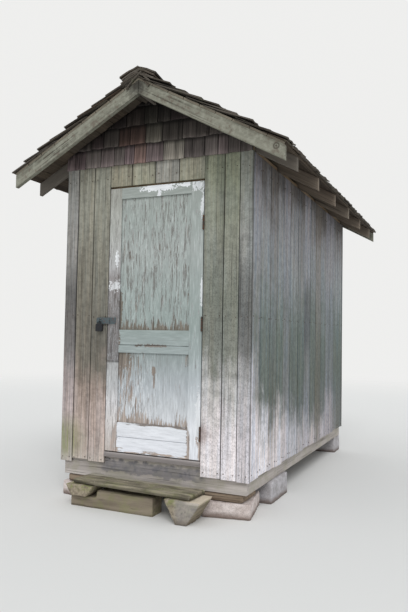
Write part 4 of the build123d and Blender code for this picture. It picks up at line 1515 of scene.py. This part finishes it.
deck_low, deck_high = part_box("roof_deck_right")
deck_top = deck_high.z
deck_slope_length = deck_high.x / math.cos(roof_pitch)
deck_board_width = deck_slope_length / deck_board_count
deck_finish = Finish("deck_boards")
deck_colour, deck_relief = wood_streaks(deck_finish, deck_tones)
deck_end = deck_finish.band(
    deck_finish.math("ABSOLUTE", deck_finish.depth()),
    deck_high.y - 0.004,
    deck_high.y - 0.001,
    0.0,
    0.85,
)
deck_colour = deck_finish.mix(deck_end, deck_colour, deck_end_tone)
deck_wood = deck_finish.done(deck_colour, 0.88, deck_relief, 0.003)
for side, deck_name, deck_node in (
    (1, "deck_boards_right", "roof_deck_right"),
    (-1, "deck_boards_left", "roof_deck_left"),
):
    stock = []
    for number in range(deck_board_count):
        near = number * deck_board_width + deck_gap / 2
        far = (number + 1) * deck_board_width - deck_gap / 2
        ends = (near, far) if side > 0 else (-far, -near)
        stock.append(((ends[0], deck_low.y, -deck_thickness), (ends[1], deck_high.y, 0.0)))
    deck = board_stock(deck_name, stock, 1, deck_arris, 0.3, 36)
    deck.data.transform(
        Matrix.Translation((0, 0, deck_top)) @ Matrix.Rotation(side * roof_pitch, 4, "Y")
    )
    mark_grain(deck, along_y, 36)
    trim(
        deck,
        ((deck_ridge_gap * side, 0, 0), (-side, 0, 0)),
        ((deck_high.x * side, 0, 0), (side, 0, 0)),
    )
    shade(deck)
    deck.data.materials.append(deck_wood)
    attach(deck, "shed")
    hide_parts(deck_node)


# Roof shingles: split shingles nailed in courses from the eave up, each course covering
# the nails of the last. Years of sun and wet have curled, split and darkened them.
course_exposure = 0.142
course_heights = (0.025, 0.037, 0.043, 0.046, 0.048)
starter_sink = 0.013
eave_reach = 1.133
shingle_length = 0.42
shingle_tip = 0.0025
shingle_widths = (0.08, 0.185)
shingle_lean = 0.092
eave_lean = 0.03
inside_box = 0.0005
deck_clearance = 0.001
roof_streaks = ((0.36, (0.022, 0.019, 0.016)), (0.62, (0.105, 0.089, 0.071)))
roof_pale = (0.17, 0.15, 0.13)
roof_brown = (0.070, 0.042, 0.027)
roof_butt = (0.115, 0.10, 0.082)
roof_lichen = (0.13, 0.145, 0.085)
roof_curls = (
    (0.011, 0.003, 0.001),
    (0.013, -0.003, 0.003),
    (0.010, 0.005, 0.004),
    (0.012, 0.001, 0.0),
    (0.011, -0.004, 0.002),
    (0.014, 0.003, 0.004),
)


def roof_shingle_finish():
    """Old roof shingles: dark brown-grey, streaked, with paler butts and some lichen."""
    finish = Finish("roof_shingles")
    grain = finish.grain()
    board = finish.board()
    fine = finish.noise(grain, 95.0, 4.0, 5.0, 0.65)
    wide = finish.noise(grain, 28.0, 3.0, 3.0, 0.5, 7.0)
    both = finish.weighed(fine, 0.55, finish.times(wide, 0.45))
    colour = finish.levels(both, *roof_streaks)
    colour = finish.mix(finish.band(board, 0.70, 0.85, 0.0, 0.5), colour, roof_pale)
    colour = finish.mix(finish.band(board, 0.30, 0.15, 0.0, 0.55), colour, roof_brown)
    butt = finish.band(finish.axis(grain, "Y"), 0.020, 0.002, 0.0, 0.6)
    colour = finish.mix(butt, colour, roof_butt)
    lichen = finish.mottle(0.06, 6.0, 0.7, 4.0)
    colour = finish.mix(finish.band(lichen, 0.57, 0.67, 0.0, 0.45), colour, roof_lichen)
    cracks = finish.band(finish.noise(grain, 140.0, 2.0, 2.0, 0.5, 11.0), 0.59, 0.66)
    colour = finish.mix(finish.times(cracks, 0.8), colour, shingle_split)
    return finish.done(colour, 0.93, finish.minus(both, cracks), 0.004)


roof_wood = roof_shingle_finish()
roof_blanks = [
    shingle_blank(f"roof_blank_{number}", shingle_length, butt, shingle_tip, cup, curl, number + 10)
    for number, (butt, cup, curl) in enumerate(roof_curls)
]
eave_top = deck_top - eave_reach * math.tan(roof_pitch)
slope_length = eave_reach / math.cos(roof_pitch)
cover_low, cover_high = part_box("shingles_right")
roof_courses = round(slope_length / course_exposure)
course_step = slope_length / roof_courses
for side, cover_name, cover_node, seed in (
    (1, "roof_shingles_right", "shingles_right", 41),
    (-1, "roof_shingles_left", "shingles_left", 42),
):
    chance = random.Random(seed)
    up_slope = Matrix.Translation((side * eave_reach, 0, eave_top)) @ Matrix(
        (
            (0, -side * math.cos(roof_pitch), side * math.sin(roof_pitch), 0),
            (side, 0, 0, 0),
            (0, math.sin(roof_pitch), math.cos(roof_pitch), 0),
            (0, 0, 0, 1),
        )
    )
    places = []
    for course in range(-1, roof_courses):
        starter = course < 0
        low_course = course <= 0
        height = course_heights[min(max(course, 0), len(course_heights) - 1)]
        joints = shingle_row(cover_low.y, cover_high.y, (), chance, *shingle_widths)
        for start, end in zip(joints, joints[1:]):
            gap = chance.uniform(0.002, 0.007)
            blank = chance.randrange(len(roof_blanks))
            slip = chance.uniform(0.003 if low_course else -0.010, 0.010)
            drop = chance.uniform(0.003, 0.008) + (starter_sink if starter else 0.0)
            lean = eave_lean if low_course else shingle_lean + chance.uniform(-0.012, 0.012)
            up = max(course, 0) * course_step + slip
            matrix = (
                up_slope
                @ Matrix.Translation((side * (start + end) / 2, up, height - drop))
                @ Matrix.Rotation(-lean, 4, "X")
                @ Matrix.Rotation(chance.uniform(-0.012, 0.012), 4, "Z")
            )
            tone = chance.random()
            shift = chance.uniform(-grain_shift, grain_shift)
            places.append((blank, matrix, end - start - gap, tone, shift))
    cover = lay_shingles(cover_name, roof_blanks, places)
    trim(
        cover,
        ((inside_box * side, 0, 0), (-side, 0, 0)),
        ((0, cover_low.y + inside_box, 0), (0, -1, 0)),
        ((0, cover_high.y - inside_box, 0), (0, 1, 0)),
        (
            (0, 0, deck_top + deck_clearance),
            (-side * math.sin(roof_pitch), 0, -math.cos(roof_pitch)),
        ),
    )
    cover.data.materials.append(roof_wood)
    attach(cover, "shed")
    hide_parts(cover_node)


# Ridge cap: pairs of narrow shingles laid over the ridge and lapped from the front to
# the back, three deep. Old starters stick out under the first pair, curled and loose, and
# three pairs pack out the last one at the rear.
cap_exposure = 0.140
cap_length = 0.40
cap_layer = 0.012
cap_tip = 0.008
cap_sag = 0.012
cap_curls = ((-0.006, 0.001), (-0.010, 0.002), (-0.004, 0.0))
starter_count = 4
starter_droop = 0.12
starter_fan = 0.08
rear_packing = (0.044, 0.055, 0.066)

cap_blanks = [
    shingle_blank(f"cap_blank_{number}", cap_length, cap_layer, cap_tip, cup, curl, number + 20)
    for number, (cup, curl) in enumerate(cap_curls)
]
cap_low, cap_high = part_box("ridge_cap")
cap_lean = math.atan(cap_layer / cap_exposure)
cap_peak = (cap_high.z - deck_top) * math.cos(roof_pitch)
cap_overhang = cap_peak * math.tan(roof_pitch)
cap_reach = (cap_high.x - cap_peak * math.sin(roof_pitch)) / math.cos(roof_pitch)
cap_width = cap_reach + cap_overhang
cap_count = int((cap_high.y - cap_low.y) / cap_exposure)
chance = random.Random(43)
places = []


def place_cap(matrix, width):
    """Sets a shingle of the cap down, of a kind, tone and grain left to chance."""
    blank = chance.randrange(len(cap_blanks))
    tone = chance.random()
    shift = chance.uniform(-grain_shift, grain_shift)
    places.append((blank, matrix, width, tone, shift))


for unit in range(-starter_count, cap_count):
    starter = unit < 1
    for side in (-1, 1):
        front = cap_low.y + max(unit, 0) * cap_exposure
        front += chance.uniform(0.0, 0.014 if starter else 0.006)
        width = cap_width * chance.uniform(0.90, 0.99)
        height = cap_peak - chance.uniform(0.001, 0.004)
        height -= -unit * cap_layer if starter else cap_sag
        twist = chance.uniform(-0.05, 0.05) if starter else chance.uniform(-0.01, 0.01)
        roll = chance.uniform(0.0, 0.03)
        if starter:
            roll = chance.uniform(-0.03, 0.03) - starter_droop - starter_fan * unit
        matrix = (
            Matrix.Translation((0, 0, deck_top))
            @ Matrix.Rotation(side * roof_pitch, 4, "Y")
            @ Matrix.Translation((-side * cap_overhang, front, height))
            @ Matrix.Rotation(side * roll, 4, "Y")
            @ Matrix.Translation((side * width / 2, 0, 0))
            @ Matrix.Rotation(-cap_lean, 4, "X")
            @ Matrix.Rotation(twist, 4, "Z")
        )
        place_cap(matrix, width)
for drop in rear_packing:
    for side in (-1, 1):
        width = cap_width * chance.uniform(0.80, 0.94)
        matrix = (
            Matrix.Translation((0, 0, deck_top))
            @ Matrix.Rotation(side * roof_pitch, 4, "Y")
            @ Matrix.Translation((side * (width / 2 - cap_overhang), 0, cap_peak - drop))
            @ Matrix.Translation((0, cap_high.y - cap_length - chance.uniform(0.001, 0.010), 0))
        )
        place_cap(matrix, width)
cap = lay_shingles("ridge_cap_shingles", cap_blanks, places)
trim(
    cap,
    ((0, cap_low.y + inside_box, 0), (0, -1, 0)),
    ((0, cap_high.y - inside_box, 0), (0, 1, 0)),
    ((0, 0, cap_high.z - inside_box), (0, 0, 1)),
    ((cap_low.x, 0, 0), (-1, 0, 0)),
    ((cap_high.x, 0, 0), (1, 0, 0)),
)
cap.data.materials.append(roof_wood)
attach(cap, "shed")
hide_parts("ridge_cap")
for blank in roof_blanks + cap_blanks:
    bpy.data.objects.remove(blank)


# Door: an old house door of ploughed stiles and rails round two thin panels. Its grey-
# green paint has crazed and come off in upright flakes, worst along the panels' feet.
def round_faces(piece, arris):
    """Eases the edges of the faces that lie to the front and to the back."""
    front = min(vertex.co.y for vertex in piece.data.vertices)
    back = max(vertex.co.y for vertex in piece.data.vertices)
    take_up(piece)
    bpy.ops.object.mode_set(mode="EDIT")
    select_edges(
        piece,
        lambda start, end: any(
            abs(start.y - face) < 1e-4 and abs(end.y - face) < 1e-4 for face in (front, back)
        ),
    )
    bpy.ops.mesh.bevel(offset=arris, segments=2, affect="EDGES")
    bpy.ops.object.mode_set(mode="OBJECT")
    shade(piece)


def patch(finish, centre, size, rough, ragged):
    """1 inside an uneven patch on the door's face and 0 outside; centre and size as x and z."""
    offset = finish.vector("SUBTRACT", finish.place(), (centre[0], 0.0, centre[1]))
    offset = finish.vector("MULTIPLY", offset, (1 / size[0], 0.0, 1 / size[1]))
    reach = finish.weighed(ragged, rough, finish.vector("LENGTH", offset, result="Value"))
    return finish.band(reach, 1.08 + rough / 2, 0.98 + rough / 2)


def ragged_edge(finish):
    """What makes the patches' edges uneven."""
    return finish.mottle(0.018, 4.0, 0.6, 5.0)


flake_white = (0.80, 0.82, 0.84)
paint_dirt = (0.15, 0.135, 0.125)


def old_paint(finish, tint, hold, bare, crazing, chalk):
    """Paint that holds above 0, a white broken rim below that, and bare wood further down."""
    grain = finish.grain()
    fine = finish.noise(grain, 100.0, 3.0, 5.0, 0.65)
    wood = finish.scaled(bare, finish.band(fine, 0.30, 0.70, 0.55, 1.45))
    craze = finish.noise(grain, 85.0, 5.0, 5.0, 0.72, 29.0)
    lines = finish.times(finish.band(craze, 0.53, 0.57), crazing)
    edges = finish.times(finish.band(craze, 0.44, 0.52), crazing)
    flecks = finish.noise(grain, 70.0, 8.0, 4.0, 0.65, 37.0)
    light = finish.times(finish.band(flecks, 0.52, 0.66), chalk)
    paint = finish.scaled(tint, finish.band(flecks, 0.30, 0.70, 0.90, 1.08))
    paint = finish.mix(light, paint, finish.mix(0.4, finish.scaled(tint, 1.2), flake_white))
    paint = finish.scaled(paint, finish.weighed(edges, 0.32, 1.0))
    paint = finish.mix(lines, paint, paint_dirt)
    rim = finish.times(finish.band(hold, -0.045, -0.012), 0.65)
    colour = finish.mix(rim, wood, finish.mix(0.5, tint, flake_white))
    held = finish.band(hold, -0.004, 0.008)
    colour = finish.mix(held, colour, paint)
    relief = finish.plus(
        finish.times(fine, 0.35), finish.times(held, 0.7), finish.times(lines, -0.5)
    )
    return finish.done(colour, finish.band(held, 0.0, 1.0, 0.9, 0.6), relief, 0.0022, 0.3)


door_arris = 0.0022
paint_heights = (
    (0.40, (0.85, 0.87, 0.93)),
    (0.60, (0.80, 0.82, 0.86)),
    (0.75, (0.66, 0.69, 0.72)),
    (0.90, (0.52, 0.56, 0.59)),
    (1.10, (0.36, 0.41, 0.41)),
    (1.35, (0.31, 0.365, 0.35)),
    (1.60, (0.34, 0.39, 0.375)),
    (1.90, (0.39, 0.425, 0.41)),
    (2.15, (0.36, 0.40, 0.38)),
    (2.42, (0.34, 0.37, 0.345)),
)
left_stile_heights = (
    (0.40, (0.52, 0.47, 0.44)),
    (0.60, (0.66, 0.63, 0.62)),
    (0.75, (0.61, 0.60, 0.61)),
    (0.90, (0.49, 0.50, 0.51)),
    (1.062, (0.40, 0.405, 0.405)),
    (1.064, (0.05, 0.05, 0.05)),
    (1.070, (0.05, 0.05, 0.05)),
    (1.072, (0.185, 0.18, 0.18)),
    (1.35, (0.16, 0.155, 0.155)),
    (1.55, (0.24, 0.225, 0.225)),
    (1.72, (0.30, 0.28, 0.28)),
    (1.80, (0.44, 0.44, 0.44)),
    (2.10, (0.43, 0.44, 0.41)),
    (2.42, (0.33, 0.33, 0.295)),
)
stile_bare_heights = (
    (0.40, (0.50, 0.42, 0.38)),
    (0.90, (0.36, 0.32, 0.30)),
    (1.10, (0.17, 0.16, 0.16)),
    (2.40, (0.26, 0.23, 0.21)),
)
stile_whites = (
    ((-0.315, 1.865), (0.016, 0.060), 4.0),
    ((-0.332, 1.652), (0.055, 0.034), 4.0),
    ((0.372, 2.390), (0.052, 0.034), 5.0),
    ((0.408, 2.230), (0.014, 0.080), 3.0),
    ((0.412, 1.600), (0.009, 0.100), 3.0),
    ((0.400, 0.700), (0.018, 0.150), 4.0),
)
stile_spot = ((0.396, 0.520), (0.012, 0.040), 3.0)


def stile_paint():
    """The stiles: the left one grey and worn bare above the lock rail, the right one pale
    green turning white downwards, with white flakes along its outer edge."""
    finish = Finish("stile_paint")
    across = finish.side()
    level = finish.level()
    ragged = ragged_edge(finish)
    on_right = finish.band(across, 0.0, 0.01)
    left_tint = finish.levels(level, *left_stile_heights)
    tint = finish.mix(on_right, left_tint, finish.levels(level, *paint_heights))
    whites = finish.plus(*[patch(finish, *white, ragged) for white in stile_whites])
    tint = finish.mix(finish.times(whites, 0.75), tint, flake_white)
    worn = finish.times(
        finish.band(level, 1.07, 1.09),
        finish.band(level, 1.95, 1.55, 0.0, 0.16),
        finish.minus(1.0, on_right),
    )
    inner = finish.times(
        finish.band(across, 0.350, 0.330), finish.band(across, -0.345, -0.325)
    )
    edges = finish.math("MAXIMUM", finish.band(across, 0.398, 0.410), inner)
    edges = finish.times(edges, finish.band(level, 0.66, 0.52, 0.0, 0.24))
    spot = finish.times(patch(finish, *stile_spot, ragged), 0.24)
    loss = finish.plus(finish.weighed(whites, -0.3, 0.36), worn, edges, spot)
    hold = finish.minus(finish.noise(finish.grain(), 60.0, 7.0, 5.0, 0.62, 13.0), loss)
    crazing = finish.band(on_right, 0.0, 1.0, 0.55, 0.10)
    bare = finish.levels(level, *stile_bare_heights)
    return old_paint(finish, tint, hold, bare, crazing, 0.3)


stiles = copy_of("stiles", "door_stiles")
round_faces(stiles, door_arris)
mark_grain(stiles, along_z, 51)
stiles.data.materials.append(stile_paint())
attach(stiles, "door")
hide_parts("door_stiles")

rail_bare_heights = (
    (0.40, (0.46, 0.38, 0.33)),
    (0.60, (0.24, 0.21, 0.19)),
    (2.40, (0.17, 0.15, 0.13)),
)
rail_whites = (
    ((0.045, 2.398), (0.145, 0.028), 3.0),
    ((0.050, 2.355), (0.016, 0.030), 3.0),
    ((0.270, 2.400), (0.040, 0.016), 3.0),
)
rail_worn = (
    ((-0.282, 1.235), (0.012, 0.060), 3.0),
    ((0.0, 1.197), (0.12, 0.010), 4.0),
)
door_middle = 0.0155


def rail_paint():
    """The rails: clean paint, white in the middle at the top, peeled above the bottom rail
    and in the crack of the lock rail."""
    finish = Finish("rail_paint")
    level = finish.level()
    ends = finish.math("ABSOLUTE", finish.minus(finish.side(), door_middle))
    ragged = ragged_edge(finish)
    whites = finish.plus(*[patch(finish, *white, ragged) for white in rail_whites])
    tint = finish.mix(whites, finish.levels(level, *paint_heights), flake_white)
    on_bottom_rail = finish.band(level, 0.70, 0.65)
    loss = finish.plus(
        finish.weighed(whites, -0.3, 0.31),
        finish.times(finish.band(level, 0.582, 0.606, 0.0, 0.26), on_bottom_rail),
        finish.band(level, 0.425, 0.395, 0.0, 0.21),
        finish.times(finish.band(ends, 0.278, 0.310, 0.0, 0.22), on_bottom_rail),
        *[finish.times(patch(finish, *worn, ragged), 0.3) for worn in rail_worn],
    )
    hold = finish.minus(finish.noise(finish.grain(), 60.0, 7.0, 5.0, 0.62, 13.0), loss)
    return old_paint(finish, tint, hold, finish.levels(level, *rail_bare_heights), 0.08, 0.15)


rails = copy_of("rails", "door_rails")
round_faces(rails, door_arris)
mark_grain(rails, along_x, 52)
rails.data.materials.append(rail_paint())
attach(rails, "door")
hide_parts("door_rails")

panel_bare_heights = (
    (0.60, (0.42, 0.36, 0.32)),
    (0.90, (0.33, 0.275, 0.245)),
    (1.13, (0.21, 0.185, 0.155)),
    (1.31, (0.20, 0.18, 0.15)),
    (2.30, (0.21, 0.19, 0.17)),
)
panel_worn = (
    (((-0.262, 1.10), (0.080, 0.085), 2.5), 0.16),
    (((0.305, 1.10), (0.022, 0.045), 2.5), 0.20),
    (((0.022, 1.010), (0.017, 0.034), 1.2), 0.35),
    (((0.028, 0.940), (0.007, 0.060), 1.2), 0.35),
    (((-0.285, 1.46), (0.022, 0.15), 2.5), 0.30),
)


def panel_paint():
    """The panels: paint off in upright fingers along both feet, in streaks at the left of the
    lower panel and round a knot, and crazed all over."""
    finish = Finish("panel_paint")
    grain = finish.grain()
    across = finish.side()
    level = finish.level()
    ragged = ragged_edge(finish)
    upper = finish.band(level, 1.19, 1.21)
    lower = finish.minus(1.0, upper)
    fingered = finish.weighed(finish.noise(grain, 52.0, 4.0, 5.0, 0.7, 23.0), -0.26, level)
    upper_foot = finish.times(upper, finish.band(fingered, 1.270, 1.170, 0.0, 0.30))
    lower_foot = finish.times(lower, finish.band(fingered, 0.575, 0.465, 0.0, 0.24))
    loss = finish.plus(
        finish.math("MAXIMUM", upper_foot, lower_foot),
        finish.times(lower, finish.band(across, 0.12, -0.25, 0.0, 0.15)),
        *[finish.times(patch(finish, *worn, ragged), share) for worn, share in panel_worn],
        finish.band(level, 1.2, 1.3, 0.345, 0.39),
    )
    hold = finish.minus(finish.noise(grain, 65.0, 6.0, 5.0, 0.62, 13.0), loss)
    crazing = finish.math(
        "MAXIMUM",
        finish.band(level, 1.2, 1.3, 0.0, 0.80),
        finish.band(across, 0.20, -0.25, 0.24, 0.75),
    )
    tint = finish.levels(level, *paint_heights)
    tint = finish.scaled(tint, finish.band(level, 1.15, 1.30, 0.87, 0.96))
    bare = finish.levels(level, *panel_bare_heights)
    chalk = finish.weighed(lower, finish.band(across, 0.10, -0.15, 0.0, 0.60), 0.24)
    return old_paint(finish, tint, hold, bare, crazing, chalk)


panels = copy_of("panels", "door_panels")
cut_across(panels, 2, 0.1)
cut_across(panels, 0, 0.06)
let_wander(panels, 0.0008, 0.3, 53)
mark_grain(panels, along_z, 53)
panels.data.materials.append(panel_paint())
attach(panels, "door")
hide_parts("door_panels")


# Hinges, hasp and lock: plain steel, once dark and dull, now pitted with rust. The leaves
# are screwed into the door's edge, and the lock hangs through the strap's staple.
iron_pit = (0.05, 0.028, 0.02)


def iron_finish(name, metal, rust, rust_level):
    """Pitted old steel with rust in patches."""
    finish = Finish(name)
    pits = finish.mottle(0.003, 3.0, 0.6, 9.0)
    rusted = finish.band(finish.mottle(0.012, 5.0, 0.65), rust_level, rust_level + 0.12)
    colour = finish.mix(rusted, metal, rust)
    colour = finish.mix(finish.band(pits, 0.55, 0.70, 0.0, 0.6), colour, iron_pit)
    finish.give(finish.shader.inputs["Metallic"], 0.35)
    return finish.done(colour, 0.62, finish.plus(pits, rusted), 0.0012, 0.4)


hinge_iron = iron_finish("hinge_iron", (0.055, 0.050, 0.047), (0.14, 0.062, 0.032), 0.46)
hasp_iron = iron_finish("hasp_iron", (0.095, 0.125, 0.135), (0.20, 0.060, 0.040), 0.55)
lock_iron = iron_finish("lock_iron", (0.020, 0.022, 0.026), (0.070, 0.034, 0.024), 0.60)
for iron_node, iron in (
    ("hinge_wall_leaves", hinge_iron),
    ("hinge_door_leaves", hinge_iron),
    ("hasp_strap", hasp_iron),
    ("hasp_staple", hasp_iron),
    ("padlock", lock_iron),
):
    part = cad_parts[iron_node]
    part.data.materials.clear()
    part.data.materials.append(iron)
